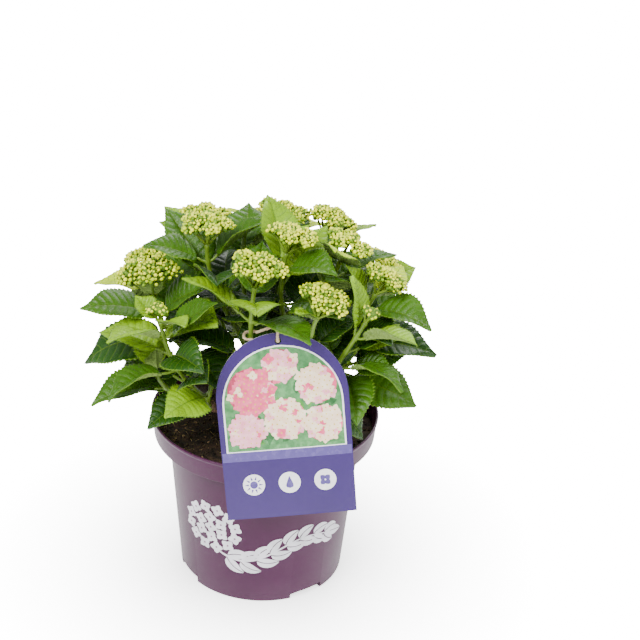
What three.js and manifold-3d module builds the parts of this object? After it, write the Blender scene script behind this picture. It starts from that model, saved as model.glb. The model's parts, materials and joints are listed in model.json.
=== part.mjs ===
// A young mophead hydrangea in bud, in a tapered nursery pot with a plant label tied to one stem.
// Millimetres, +Z up. The origin is the centre of the pot's flat underside, and -Y is the front.
//
// The shrub is built the way it grows. Woody canes rise from the potting mix. Each cane forks into
// green shoots, and each shoot carries crosswise pairs of leaves and, at its tip, a low flower head
// of closed buds. A leaf that would touch a stem, another leaf, the label or the pot tries a few
// other positions, then a smaller size, and is left out if none is free.
import * as THREE from "three";
import { mergeVertices } from "three/addons/utils/BufferGeometryUtils.js";
import Module from "manifold-3d";

const wasm = await Module();
wasm.setup();

const V = (x, y, z) => new THREE.Vector3(x, y, z);
const UP = V(0, 0, 1);
const RADIANS = Math.PI / 180;
const GAP = 0.3;

// The pot, by its outline from the foot to the rim.
const POT = {
  height: 178,
  rimRadius: 115,
  bandHeight: 23.5,
  bandFootRadius: 112,
  shoulderRadius: 97.5,
  footRadius: 84,
  wall: 2.2,
  floor: 2.5,
  channelInner: 56,
  channelOuter: 70,
  channelHeight: 6.5,
  facets: 36,
};
const NOTCH = { angles: [27, 124, 207, 304], width: 37, depth: 16, height: 6.5 };
const DRAIN = { count: 8, ringRadius: 63, radius: 4.5, sides: 6, drill: 40 };

// The potting mix fills the pot to a little below the rim and lies level round the canes.
const MIX = { edgeTop: 159, crownTop: 163, crownRadius: 38, slack: 0.1, wallSlack: 0.2 };

// The label leans back on the rim. Its foot, middle and top are measured up its face from the rim.
const LABEL = {
  lean: 14,
  roll: 6.3,
  across: 23.9,
  thickness: 0.9,
  footWidth: 123.5,
  shoulderWidth: 125,
  foot: -45.5,
  shoulder: 72.3,
  holeRise: 126.9,
  holeRadius: 3,
  arcSteps: 20,
  room: 2,
};

// The tie's loop, and the height at which it goes round the front centre shoot.
const TIE = { radius: 1.5, sides: 5, steps: 24, height: 292, rise: 5 };

// The woody canes: where each leaves the mix, where it forks, in degrees round the pot and mm.
const CANE = {
  footRadius: 4.6,
  tipRadius: 3.6,
  knuckleRadius: 6.3,
  knuckleLength: 2,
  flare: 1.35,
  sides: 6,
  steps: 5,
  samples: 8,
};
// How far a cane's curve goes straight up from its foot and upright and outward to its fork, in shares.
const CANE_CURVE = { foot: 0.4, fork: 0.35, outward: 0.3 };
const CANES = {
  front: { foot: [-4, -20], fork: [-7, -42, 216] },
  front_right: { foot: [17, -17], fork: [40, -46, 216] },
  front_left: { foot: [-21, -14], fork: [-56, -46, 208] },
  left: { foot: [-26, 3], fork: [-66, 6, 222] },
  centre: { foot: [-5, 3], fork: [-16, 4, 236] },
  centre_right: { foot: [12, 2], fork: [22, 0, 232] },
  right: { foot: [27, 3], fork: [62, -2, 220] },
  back_right: { foot: [16, 20], fork: [36, 54, 214] },
  back_left: { foot: [-13, 20], fork: [-38, 54, 214] },
};

// The green shoots. head is the centre of the flower head, or of the tip leaves where across is 0.
// A head is an oval, shorter from front to back by the share in HEAD unless it has its own.
const SHOOTS = [
  { name: "front_centre", cane: "front", head: [-9, -82, 376], across: 54 },
  { name: "front_right", cane: "front_right", head: [53, -88, 348], across: 51 },
  { name: "left_outer", cane: "left", head: [-114, -30, 342], across: 62, oval: 0.6 },
  { name: "left_low", cane: "front_left", head: [-101, -86, 330], across: 25 },
  { name: "left_upper", cane: "centre", head: [-60, -16, 388], across: 50 },
  { name: "middle", cane: "centre_right", head: [21, -42, 391], across: 46 },
  { name: "right_upper", cane: "right", head: [76, -16, 372], across: 47 },
  { name: "right_outer", cane: "right", head: [112, -34, 345], across: 44 },
  { name: "right_front", cane: "front_right", head: [96, -84, 332], across: 22 },
  { name: "back_centre", cane: "centre_right", head: [14, 34, 382], across: 52 },
  { name: "crown_leaves", cane: "centre", head: [-24, 6, 374], across: 0 },
  { name: "back_left_upper", cane: "back_left", head: [-64, 58, 366], across: 50 },
  { name: "back_right_upper", cane: "back_right", head: [62, 66, 362], across: 50 },
  { name: "back_middle", cane: "back_right", head: [2, 108, 342], across: 48 },
  { name: "right_back", cane: "back_right", head: [112, 48, 326], across: 44 },
  { name: "left_back", cane: "left", head: [-120, 42, 324], across: 48 },
  { name: "back_left_low", cane: "back_left", head: [-70, 110, 305], across: 0 },
  { name: "left_skirt", cane: "front_left", head: [-105, -60, 250], across: 0 },
  { name: "right_skirt", cane: "right", head: [85, -52, 276], across: 0 },
  { name: "front_skirt", cane: "front_left", head: [-52, -72, 248], across: 0 },
  { name: "back_skirt", cane: "back_left", head: [-10, 105, 260], across: 0 },
];
const SHOOT = {
  footRadius: 2.7,
  tipRadius: 2,
  headRadius: 1.2,
  sunk: 3,
  ringOffset: 3.4,
  sides: 5,
  steps: 4,
  samples: 24,
};
// How far a shoot's curve follows its cane and then its flower head, in shares of its reach.
const SHOOT_CURVE = { cane: 0.22, head: 0.42 };

// A flower head is a low cushion of buds with a few rounded lobes, in shares of its width.
const HEAD = {
  rise: 0.34,
  minRise: 5,
  oval: 0.8,
  lobeRadius: 0.18,
  crown: 0.04,
  depth: 0.13,
  waist: 0.5,
  leanAcross: 0.003,
  leanFrom: -60,
  leanAlong: 0.0014,
};
// How far lobes stray: round the ring in shares of a step, outward, up and in size.
const LOBE_STRAY = { turn: 0.3, out: [0.94, 0.14], lift: [-0.035, 0.05], size: [0.92, 0.16] };
// A lobe in the solid, in shares of its radius, and the shares of the spokes that lie between lobes
// and at the top's edge.
const LOBE = { half: 0.62, reach: 0.8, between: 0.47, top: 0.8, foot: 0.4 };
// The room that a head needs: a drum between two heights, and a point above it.
const HEAD_ROOM = { foot: -0.1, brim: 0.14, crown: 0.24, radius: 0.52 };
// A large head has five lobes round its middle one, and a small head three that lie closer.
const LARGE_HEAD = { least: 40, lobes: 5, ringRadius: 0.32 };
const SMALL_HEAD = { lobes: 3, ringRadius: 0.26 };

// Leaf pairs down a shoot: distance below the tip, blade length, petiole, angle off the stem, bend.
const PAIRS = [
  { drop: 2, blade: 54, petiole: 7, splay: 46, bend: 14 },
  { drop: 20, blade: 64, petiole: 11, splay: 56, bend: 26 },
  { drop: 40, blade: 70, petiole: 14, splay: 65, bend: 34 },
  { drop: 62, blade: 70, petiole: 17, splay: 73, bend: 42 },
  { drop: 86, blade: 64, petiole: 19, splay: 80, bend: 48 },
  { drop: 114, blade: 56, petiole: 20, splay: 86, bend: 50 },
];
const LEAF = {
  aspect: 0.8,
  thickness: 1.5,
  margin: 1.9,
  petioleRadius: 1.4,
  petioleTaper: 0.85,
  lowest: 6,
  rimRoom: 8,
};
// A leaf turns its face up by a share, and rises a little more where it would hang below level.
const LIGHT = { turnUp: 0.55, rise: 0.05, hanging: 0.1, hangingRise: 0.3 };
// A blade's midrib first rises by this share of its bend.
const MIDRIB_START = 0.35;
// Leaf pairs start this far above a shoot's foot.
const LOWEST_NODE = 8;
// The room that a petiole and the tie keep round them.
const CLEARANCE = 0.8;
// The top pair lies across the way that the shoot leans, so every second pair points out and in.
const TOP_PAIR_TURN = 90;
// A shoot's leaves grow with its flower head, from a share of full size. Shoots without one differ.
const LEAF_SIZE = { least: 0.72, perMillimetre: 0.0045, leafy: 0.95 };
// How far single leaves stray from the rule: turn, splay and roll in degrees, size and bend in shares.
const STRAY = { turn: 24, splay: 18, roll: 52, size: [0.9, 0.22], bend: [0.3, 1.2], fold: [9, 22] };
const LEAF_STATIONS = [0, 0.25, 0.55, 0.82, 1];
// Other positions that a blocked leaf tries: turn, splay and size.
const TRIES = [1, 0.88, 0.76, 0.62].flatMap((size) =>
  [
    [0, 0],
    [0, -14],
    [0, 14],
    [15, 0],
    [-15, 0],
    [0, -28],
    [20, -16],
    [-20, -16],
    [30, 6],
    [-30, 6],
  ].map(([turn, splay]) => [turn, splay, size]),
);

// A repeatable random number from 0 to 1, by the Park-Miller rule.
function makeRandom(seed) {
  let state = (seed * 48271) % 2147483647;
  return () => {
    state = (state * 16807) % 2147483647;
    return state / 2147483647;
  };
}

// Solids.

// A closed surface as a solid, whichever way its faces were wound.
function solidFrom(geometry) {
  const plain = new THREE.BufferGeometry();
  plain.setAttribute("position", geometry.getAttribute("position"));
  if (geometry.index) plain.setIndex(geometry.index);
  const merged = mergeVertices(plain, 1e-3);
  const corners = merged.index.array;
  const triangles = [];
  for (let i = 0; i < corners.length; i += 3) {
    const [a, b, c] = [corners[i], corners[i + 1], corners[i + 2]];
    if (a !== b && b !== c && c !== a) triangles.push(a, b, c);
  }
  const vertProperties = merged.getAttribute("position").array;
  const build = (list) =>
    new wasm.Manifold(new wasm.Mesh({ numProp: 3, vertProperties, triVerts: new Uint32Array(list) }));
  const solid = build(triangles);
  return solid.volume() > 0 ? solid : build(triangles.reverse());
}

function geometryFrom(solid) {
  const mesh = solid.getMesh();
  const geometry = new THREE.BufferGeometry();
  geometry.setAttribute("position", new THREE.BufferAttribute(mesh.vertProperties, 3));
  geometry.setIndex(new THREE.BufferAttribute(mesh.triVerts, 1));
  geometry.computeVertexNormals();
  return geometry;
}

// A surface from points and from faces given as lists of point numbers.
function surface(points, faces) {
  const triangles = faces.flatMap((f) => f.slice(2).flatMap((c, i) => [f[0], f[i + 1], c]));
  const geometry = new THREE.BufferGeometry().setFromPoints(points);
  geometry.setIndex(triangles);
  return geometry;
}

// A solid of revolution about +Z, from a profile of [radius, height] points.
function turned(profile, facets) {
  const geometry = new THREE.LatheGeometry(profile.map(([r, z]) => new THREE.Vector2(r, z)), facets);
  geometry.rotateX(Math.PI / 2);
  return solidFrom(geometry);
}

// A limb along a line of points: one ring of corners at each, and flat ends.
function limb(points, radii, sides) {
  const rings = [];
  let side = null;
  points.forEach((p, i) => {
    const along = points[Math.min(i + 1, points.length - 1)]
      .clone()
      .sub(points[Math.max(i - 1, 0)])
      .normalize();
    side = (side || (Math.abs(along.z) < 0.9 ? UP.clone() : V(1, 0, 0))).clone();
    side.addScaledVector(along, -side.dot(along)).normalize();
    const across = along.clone().cross(side);
    for (let k = 0; k < sides; k++) {
      const angle = (2 * Math.PI * k) / sides;
      const out = side.clone().multiplyScalar(Math.cos(angle)).addScaledVector(across, Math.sin(angle));
      rings.push(p.clone().addScaledVector(out, radii[i]));
    }
  });
  const faces = [];
  for (let i = 0; i + 1 < points.length; i++) {
    for (let k = 0; k < sides; k++) {
      const next = (k + 1) % sides;
      faces.push([i * sides + k, i * sides + next, (i + 1) * sides + next, (i + 1) * sides + k]);
    }
  }
  faces.push([...Array(sides).keys()].reverse());
  faces.push([...Array(sides).keys()].map((k) => (points.length - 1) * sides + k));
  return solidFrom(surface(rings, faces));
}

// Lines that the plant grows along.

function cubic(p0, p1, p2, p3, t) {
  const s = 1 - t;
  return p0
    .clone()
    .multiplyScalar(s * s * s)
    .addScaledVector(p1, 3 * s * s * t)
    .addScaledVector(p2, 3 * s * t * t)
    .addScaledVector(p3, t * t * t);
}

// A line of points with its running length, and the place and direction at a length along it.
function makeLine(points) {
  const lengths = [0];
  for (let i = 1; i < points.length; i++) lengths.push(lengths[i - 1] + points[i].distanceTo(points[i - 1]));
  const total = lengths[lengths.length - 1];
  const at = (length) => {
    const want = Math.min(Math.max(length, 0), total);
    let i = 1;
    while (i < points.length - 1 && lengths[i] < want) i++;
    const share = (want - lengths[i - 1]) / (lengths[i] - lengths[i - 1]);
    const direction = points[i].clone().sub(points[i - 1]).normalize();
    return { point: points[i - 1].clone().lerp(points[i], share), direction };
  };
  return { points, total, at };
}

function curve(p0, p1, p2, p3, samples) {
  return makeLine([...Array(samples + 1).keys()].map((i) => cubic(p0, p1, p2, p3, i / samples)));
}

// Two directions square to an axis, the first as near +X as can be.
function squareTo(axis) {
  const first = V(1, 0, 0).addScaledVector(axis, -axis.x).normalize();
  return [first, axis.clone().cross(first)];
}

const turnedBy = ([first, second], degrees) =>
  first
    .clone()
    .multiplyScalar(Math.cos(degrees * RADIANS))
    .addScaledVector(second, Math.sin(degrees * RADIANS));

function caneLine({ foot, fork }) {
  const base = V(foot[0], foot[1], MIX.crownTop + GAP);
  const tip = V(...fork);
  const rise = tip.z - base.z;
  const outward = tip.clone().sub(base).setZ(0);
  return curve(
    base,
    base.clone().addScaledVector(UP, rise * CANE_CURVE.foot),
    tip.clone().addScaledVector(UP, -rise * CANE_CURVE.fork).addScaledVector(outward, -CANE_CURVE.outward),
    tip,
    CANE.samples,
  );
}

// The shoots of one cane share its tip: each starts on its own side of the knuckle.
function shootStarts(caneName, line) {
  const { point, direction } = line.at(line.total);
  const square = squareTo(direction);
  const mine = SHOOTS.filter((s) => s.cane === caneName).map((shoot) => {
    const way = V(...shoot.head).sub(point);
    const bearing = Math.atan2(way.dot(square[1]), way.dot(square[0])) / RADIANS;
    return { shoot, bearing };
  });
  mine.sort((a, b) => a.bearing - b.bearing);
  const step = 360 / mine.length;
  const mean = mine.reduce((sum, m, i) => sum + m.bearing - i * step, 0) / mine.length;
  return mine.map(({ shoot }, i) => {
    const offset = mine.length > 1 ? SHOOT.ringOffset : 0;
    const side = turnedBy(square, mean + i * step);
    const base = point.clone().addScaledVector(direction, GAP).addScaledVector(side, offset);
    return { shoot, base, axis: direction };
  });
}

function growShoot({ shoot, base, axis }) {
  const head = V(...shoot.head);
  const turn = Math.atan2(head.y, head.x) / RADIANS + TOP_PAIR_TURN;
  const size = shoot.across ? LEAF_SIZE.least + LEAF_SIZE.perMillimetre * shoot.across : LEAF_SIZE.leafy;
  const seed = SHOOTS.indexOf(shoot) + 1;
  const lean = V((head.x - HEAD.leanFrom) * HEAD.leanAcross, head.y * HEAD.leanAlong, 0);
  const facing = UP.clone().add(lean).normalize();
  const rise = shoot.across ? shoot.across * HEAD.rise + HEAD.minRise : 0;
  const tip = head.clone().addScaledVector(facing, -rise);
  const reach = tip.distanceTo(base);
  const line = curve(
    base,
    base.clone().addScaledVector(axis, reach * SHOOT_CURVE.cane),
    tip.clone().addScaledVector(facing, -reach * SHOOT_CURVE.head),
    tip,
    SHOOT.samples,
  );
  return { ...shoot, base, axis, line, facing, turn, size, seed, headCentre: head };
}

// The sides of a flower head, which is shorter from front to back.
function ovalTo({ facing, oval = HEAD.oval }) {
  const [first, second] = squareTo(facing);
  return [first, second.multiplyScalar(oval)];
}

// A value that strays from the rule: the least, and the range above it.
const stray = ([least, range], draw) => least + range * draw;

// The lobes of a flower head: the middle one and a ring of five, or three on a small head.
function headLobes(shoot) {
  const random = makeRandom(shoot.seed * 7919);
  const { across, headCentre, facing } = shoot;
  const square = ovalTo(shoot);
  const ring = across > LARGE_HEAD.least ? LARGE_HEAD : SMALL_HEAD;
  const place = (outward, out, lift) =>
    headCentre.clone().addScaledVector(outward, out).addScaledVector(facing, lift);
  const lobes = [{ centre: place(facing, 0, across * HEAD.crown), radius: across * HEAD.lobeRadius }];
  for (let k = 0; k < ring.lobes; k++) {
    const angle = shoot.turn + (360 / ring.lobes) * (k + LOBE_STRAY.turn * (random() - 0.5));
    const out = across * ring.ringRadius * stray(LOBE_STRAY.out, random());
    const lift = across * stray(LOBE_STRAY.lift, random());
    const radius = across * HEAD.lobeRadius * stray(LOBE_STRAY.size, random());
    lobes.push({ centre: place(turnedBy(square, angle), out, lift), radius });
  }
  return lobes;
}

// Leaves.

// Half the width of a blade, as a share of its widest, at a share of its length.
function bladeShape(t) {
  const bow = Math.max(Math.sin(Math.PI * t ** 0.78), 0);
  return bow ** 0.74 * (1 - 0.2 * t ** 3);
}

// A leaf's own frame. It grows from the stem at its node and turns its face towards the light.
function placeLeaf(shoot, pair, sideways, draws, [turn, splay, size]) {
  const node = shoot.line.at(shoot.line.total - pair.drop);
  const square = squareTo(node.direction);
  const outward = turnedBy(square, shoot.turn + pair.cross + sideways + turn + STRAY.turn * (draws[0] - 0.5));
  const angle = (pair.splay + splay + STRAY.splay * (draws[1] - 0.5)) * RADIANS;
  const along = node.direction.clone().multiplyScalar(Math.cos(angle));
  along.addScaledVector(outward, Math.sin(angle));
  along.addScaledVector(UP, along.z < LIGHT.hanging ? LIGHT.hangingRise : LIGHT.rise).normalize();
  const face = node.direction.clone().lerp(UP, LIGHT.turnUp);
  face.addScaledVector(along, -face.dot(along)).normalize();
  const side = along.clone().cross(face);
  const roll = STRAY.roll * (draws[2] - 0.5) * RADIANS;
  face.multiplyScalar(Math.cos(roll)).addScaledVector(side, Math.sin(roll));
  side.copy(along).cross(face);
  const scale = shoot.size * size * stray(STRAY.size, draws[3]);
  return {
    root: node.point,
    petioleEnd: node.point.clone().addScaledVector(along, pair.petiole * (0.8 + 0.2 * size)),
    along,
    face,
    side,
    length: pair.blade * scale,
    halfWidth: 0.5 * pair.blade * scale * LEAF.aspect,
    bend: pair.bend * stray(STRAY.bend, draws[4]) * RADIANS,
    fold: stray(STRAY.fold, draws[5]) * RADIANS,
  };
}

// The midrib bends evenly from the petiole's end to the tip, and the two halves fold up along it.
function leafPoint(leaf, t, u, lift = 0) {
  const start = MIDRIB_START * leaf.bend;
  const turn = start - leaf.bend * (1 + MIDRIB_START) * t;
  const mean = (start + turn) / 2;
  const chord = leaf.length * t;
  const face = leaf.face.clone().multiplyScalar(Math.cos(turn)).addScaledVector(leaf.along, -Math.sin(turn));
  const width = leaf.halfWidth * bladeShape(t) * u;
  return leaf.petioleEnd
    .clone()
    .addScaledVector(leaf.along, chord * Math.cos(mean))
    .addScaledVector(leaf.face, chord * Math.sin(mean))
    .addScaledVector(leaf.side, width * Math.cos(leaf.fold))
    .addScaledVector(face, Math.abs(width) * Math.sin(leaf.fold) + lift);
}

// Rough sheets that stand for the pieces while leaves look for room: triangles, and the lines in them.

// Whether a line from p to q passes through triangle a, b, c.
function crosses([p, q], [a, b, c]) {
  const [wx, wy, wz] = [q.x - p.x, q.y - p.y, q.z - p.z];
  const [ex, ey, ez] = [b.x - a.x, b.y - a.y, b.z - a.z];
  const [fx, fy, fz] = [c.x - a.x, c.y - a.y, c.z - a.z];
  const [hx, hy, hz] = [wy * fz - wz * fy, wz * fx - wx * fz, wx * fy - wy * fx];
  const det = ex * hx + ey * hy + ez * hz;
  if (Math.abs(det) < 1e-9) return false;
  const [sx, sy, sz] = [p.x - a.x, p.y - a.y, p.z - a.z];
  const u = (sx * hx + sy * hy + sz * hz) / det;
  if (u < 0 || u > 1) return false;
  const [kx, ky, kz] = [sy * ez - sz * ey, sz * ex - sx * ez, sx * ey - sy * ex];
  const v = (wx * kx + wy * ky + wz * kz) / det;
  if (v < 0 || u + v > 1) return false;
  const t = (fx * kx + fy * ky + fz * kz) / det;
  return t >= 0 && t <= 1;
}

function sketch(owner, kind, triangles, lines) {
  const box = new THREE.Box3().setFromPoints([...triangles, ...lines].flat());
  return { owner, kind, triangles, lines, box };
}

// A limb's sketch is two crossed ribbons, a little wider than the limb.
function limbSketch(owner, kind, points, radius) {
  const triangles = [];
  const lines = [];
  for (let i = 0; i + 1 < points.length; i++) {
    const square = squareTo(points[i + 1].clone().sub(points[i]).normalize());
    for (const side of square) {
      const [a, b] = [points[i], points[i + 1]].map((p) => p.clone().addScaledVector(side, radius));
      const [c, d] = [points[i], points[i + 1]].map((p) => p.clone().addScaledVector(side, -radius));
      triangles.push([a, b, c], [b, d, c]);
      lines.push([a, b], [c, d]);
    }
  }
  return sketch(owner, kind, triangles, lines);
}

function leafGrid(leaf, lift) {
  return LEAF_STATIONS.map((t) => [-1, 0, 1].map((u) => leafPoint(leaf, t, u, lift)));
}

function gridTriangles(grid) {
  const triangles = [];
  for (let i = 0; i + 1 < grid.length; i++) {
    for (let k = 0; k < 2; k++) {
      triangles.push([grid[i][k], grid[i + 1][k], grid[i][k + 1]]);
      triangles.push([grid[i + 1][k], grid[i + 1][k + 1], grid[i][k + 1]]);
    }
  }
  return triangles;
}

function gridLines(grid) {
  const lines = [];
  for (let i = 0; i < grid.length; i++) {
    if (i + 1 < grid.length) [0, 1, 2].forEach((k) => lines.push([grid[i][k], grid[i + 1][k]]));
    if (i > 0 && i + 1 < grid.length) lines.push([grid[i][0], grid[i][1]], [grid[i][1], grid[i][2]]);
  }
  return lines;
}

function petioleSketch(owner, leaf) {
  return limbSketch(owner, "petiole", [leaf.root, leaf.petioleEnd], LEAF.petioleRadius + CLEARANCE);
}

// A leaf in place is a closed slab a little thicker than the leaf.
function leafSketches(owner, leaf) {
  const [upper, lower] = [leafGrid(leaf, LEAF.margin), leafGrid(leaf, -LEAF.margin)];
  const walls = [0, 2].flatMap((k) =>
    upper.slice(1).flatMap((_, i) => [
      [upper[i][k], upper[i + 1][k], lower[i][k]],
      [upper[i + 1][k], lower[i + 1][k], lower[i][k]],
    ]),
  );
  const triangles = [...gridTriangles(upper), ...gridTriangles(lower), ...walls];
  const blade = sketch(owner, "blade", triangles, gridLines(leafGrid(leaf, 0)));
  return [blade, petioleSketch(owner, leaf)];
}

// A flower head stands as a low six-sided drum on a cone.
function headSketch(shoot) {
  const { line, facing, headCentre, across, name } = shoot;
  const square = squareTo(facing);
  const bottom = line.at(line.total).point;
  const top = headCentre.clone().addScaledVector(facing, across * HEAD_ROOM.crown);
  const drum = [HEAD_ROOM.foot, HEAD_ROOM.brim].map((lift) =>
    [0, 60, 120, 180, 240, 300].map((a) =>
      headCentre
        .clone()
        .addScaledVector(turnedBy(square, a), across * HEAD_ROOM.radius)
        .addScaledVector(facing, across * lift),
    ),
  );
  const triangles = [];
  const lines = [];
  for (let i = 0; i < 6; i++) {
    const [a, b] = [drum[0][i], drum[0][(i + 1) % 6]];
    const [c, d] = [drum[1][i], drum[1][(i + 1) % 6]];
    triangles.push([a, b, bottom], [a, b, c], [b, d, c], [c, d, top]);
    lines.push([a, b], [c, d], [a, c], [a, bottom], [c, top]);
  }
  return sketch(name, "head", triangles, lines);
}

// Whether a few points reach into a box, by each axis in turn.
function reaches(points, { min, max }) {
  return ["x", "y", "z"].every(
    (axis) => points.some((p) => p[axis] >= min[axis]) && points.some((p) => p[axis] <= max[axis]),
  );
}

function meets(first, second) {
  if (!first.box.intersectsBox(second.box)) return false;
  const hits = (one, other) => {
    const lines = one.lines.filter((line) => reaches(line, other.box));
    if (lines.length === 0) return false;
    const triangles = other.triangles.filter((triangle) => reaches(triangle, one.box));
    return lines.some((line) => triangles.some((triangle) => crosses(line, triangle)));
  };
  return hits(first, second) || hits(second, first);
}

// A leaf keeps clear of everything but the stem and petioles of its own shoot.
function isFree(shoot, leaf, obstacles) {
  const grid = leafGrid(leaf, 0);
  const low = grid.flat().some((p) => {
    const inside = Math.hypot(p.x, p.y) < POT.rimRadius - LEAF.rimRoom;
    return p.z < (inside ? MIX.crownTop : POT.height) + LEAF.lowest;
  });
  if (low) return false;
  const blade = sketch(shoot.name, "blade", gridTriangles(grid), gridLines(grid));
  const petiole = petioleSketch(shoot.name, leaf);
  return !obstacles.some((o) => {
    const own = o.owner === shoot.name;
    if (own && o.kind === "limb") return false;
    if (!(own && o.kind === "petiole") && meets(blade, o)) return true;
    return !own && meets(petiole, o);
  });
}

// The label.

// Its place: it stands on the rim's front, rolled a little and leaning back.
const labelPlace = new THREE.Matrix4()
  .makeTranslation(LABEL.across, -POT.rimRadius, POT.height)
  .multiply(new THREE.Matrix4().makeRotationX((90 - LABEL.lean) * RADIANS))
  .multiply(new THREE.Matrix4().makeRotationZ(LABEL.roll * RADIANS))
  .multiply(new THREE.Matrix4().makeTranslation(0, 0, GAP));

// A point on the label's face, from its place across and up the face, in front of it by out.
const onLabel = (across, up, out = 0) => V(across, up, LABEL.thickness + out).applyMatrix4(labelPlace);

// Two sheets, one before and one behind the label, that leaves keep out of.
function labelSketches() {
  const sheet = (out) => {
    const [a, b, c, d] = [
      onLabel(-LABEL.shoulderWidth / 2, LABEL.foot, out),
      onLabel(LABEL.shoulderWidth / 2, LABEL.foot, out),
      onLabel(LABEL.shoulderWidth / 2, LABEL.shoulder + LABEL.shoulderWidth / 2, out),
      onLabel(-LABEL.shoulderWidth / 2, LABEL.shoulder + LABEL.shoulderWidth / 2, out),
    ];
    return sketch("label", "card", [[a, b, c], [a, c, d]], [[a, b], [b, c], [c, d], [d, a]]);
  };
  return [sheet(LABEL.room), sheet(-LABEL.thickness - LABEL.room)];
}

// Straight sides up to the shoulder, a half round top and a punched hole.
function labelSolid() {
  const outline = new THREE.Shape();
  outline.moveTo(-LABEL.footWidth / 2, LABEL.foot);
  outline.lineTo(LABEL.footWidth / 2, LABEL.foot);
  outline.absarc(0, LABEL.shoulder, LABEL.shoulderWidth / 2, 0, Math.PI);
  const hole = new THREE.Path();
  hole.absarc(0, LABEL.holeRise, LABEL.holeRadius, 0, 2 * Math.PI);
  outline.holes.push(hole);
  const settings = { depth: LABEL.thickness, curveSegments: LABEL.arcSteps, bevelEnabled: false };
  return solidFrom(new THREE.ExtrudeGeometry(outline, settings));
}

// The tie goes round the front centre shoot, through the hole from behind and back over the top edge.
function tiePath(shoot) {
  const edge = LABEL.shoulder + LABEL.shoulderWidth / 2 - LABEL.holeRise;
  const hole = (out, up = 0) => onLabel(0, LABEL.holeRise + up, out);
  const stem = shoot.line.points.find((p) => p.z > TIE.height);
  const clear = SHOOT.footRadius + TIE.radius + 3 * GAP;
  return new THREE.CatmullRomCurve3(
    [
      hole(-3, 0.2),
      hole(1.8, 0.4),
      hole(2.4, edge * 0.6),
      hole(0.6, edge + TIE.rise),
      stem.clone().add(V(clear + 0.8, 1 - clear, TIE.rise)),
      stem.clone().add(V(clear, clear, 0.6)),
      stem.clone().add(V(0, clear * 1.3, 0)),
      stem.clone().add(V(-clear, clear, -0.6)),
      stem.clone().add(V(-clear - 0.6, 1 - clear, -2)),
      hole(-8, -1.5),
    ],
    true,
    "centripetal",
  );
}

const tieSolid = (path) => solidFrom(new THREE.TubeGeometry(path, TIE.steps, TIE.radius, TIE.sides, true));

// The pieces.

function potSolid() {
  const top = POT.height - POT.bandHeight;
  const inner = (r) => r - POT.wall;
  const body = turned(
    [
      [0, 0],
      [POT.channelInner, 0],
      [POT.channelInner, POT.channelHeight],
      [POT.channelOuter, POT.channelHeight],
      [POT.channelOuter, 0],
      [POT.footRadius, 0],
      [POT.shoulderRadius, top],
      [POT.bandFootRadius, top],
      [POT.rimRadius, POT.height],
      [inner(POT.rimRadius), POT.height],
      [inner(POT.bandFootRadius), top + POT.wall],
      [inner(POT.shoulderRadius), top + POT.wall],
      [inner(POT.footRadius), POT.channelHeight + POT.floor],
      [POT.channelInner - POT.wall, POT.channelHeight + POT.floor],
      [POT.channelInner - POT.wall, POT.floor],
      [0, POT.floor],
    ],
    POT.facets,
  );
  const cuts = NOTCH.angles.map((angle) => {
    const box = new THREE.BoxGeometry(NOTCH.depth, NOTCH.width, 2 * NOTCH.height);
    box.translate(POT.footRadius + 1, 0, 0).rotateZ(angle * RADIANS);
    return solidFrom(box);
  });
  for (let k = 0; k < DRAIN.count; k++) {
    const drill = new THREE.CylinderGeometry(DRAIN.radius, DRAIN.radius, DRAIN.drill, DRAIN.sides);
    const place = V(DRAIN.ringRadius, 0, 0).applyAxisAngle(UP, (2 * Math.PI * (k + 0.5)) / DRAIN.count);
    drill.rotateX(Math.PI / 2).translate(place.x, place.y, 0);
    cuts.push(solidFrom(drill));
  }
  return cuts.reduce((pot, cut) => pot.subtract(cut), body);
}

function mixSolid() {
  const top = POT.height - POT.bandHeight;
  const inner = (r) => r - POT.wall - GAP - MIX.slack;
  return turned(
    [
      [0, POT.floor + GAP],
      [POT.channelInner - POT.wall - GAP, POT.floor + GAP],
      [POT.channelInner - POT.wall - GAP, POT.channelHeight + POT.floor + GAP],
      [inner(POT.footRadius) - MIX.wallSlack, POT.channelHeight + POT.floor + GAP],
      [inner(POT.shoulderRadius), top + POT.wall + GAP],
      [inner(POT.bandFootRadius), top + POT.wall + GAP],
      [inner(POT.bandFootRadius) + MIX.wallSlack, MIX.edgeTop],
      [MIX.crownRadius, MIX.crownTop],
      [0, MIX.crownTop],
    ],
    POT.facets,
  );
}

function caneSolid(line) {
  const points = [];
  const radii = [];
  for (let i = 0; i <= CANE.steps; i++) {
    const share = i / CANE.steps;
    points.push(line.at(line.total * share).point);
    const taper = CANE.footRadius + (CANE.tipRadius - CANE.footRadius) * share;
    radii.push(i === 0 ? taper * CANE.flare : i === CANE.steps ? CANE.knuckleRadius : taper);
  }
  const end = line.at(line.total);
  points.push(end.point.clone().addScaledVector(end.direction, CANE.knuckleLength));
  radii.push(CANE.knuckleRadius);
  const cane = limb(points, radii, CANE.sides).trimByPlane([0, 0, 1], MIX.crownTop + GAP);
  const { direction, point } = end;
  return cane.trimByPlane([-direction.x, -direction.y, -direction.z], -direction.dot(point));
}

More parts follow.
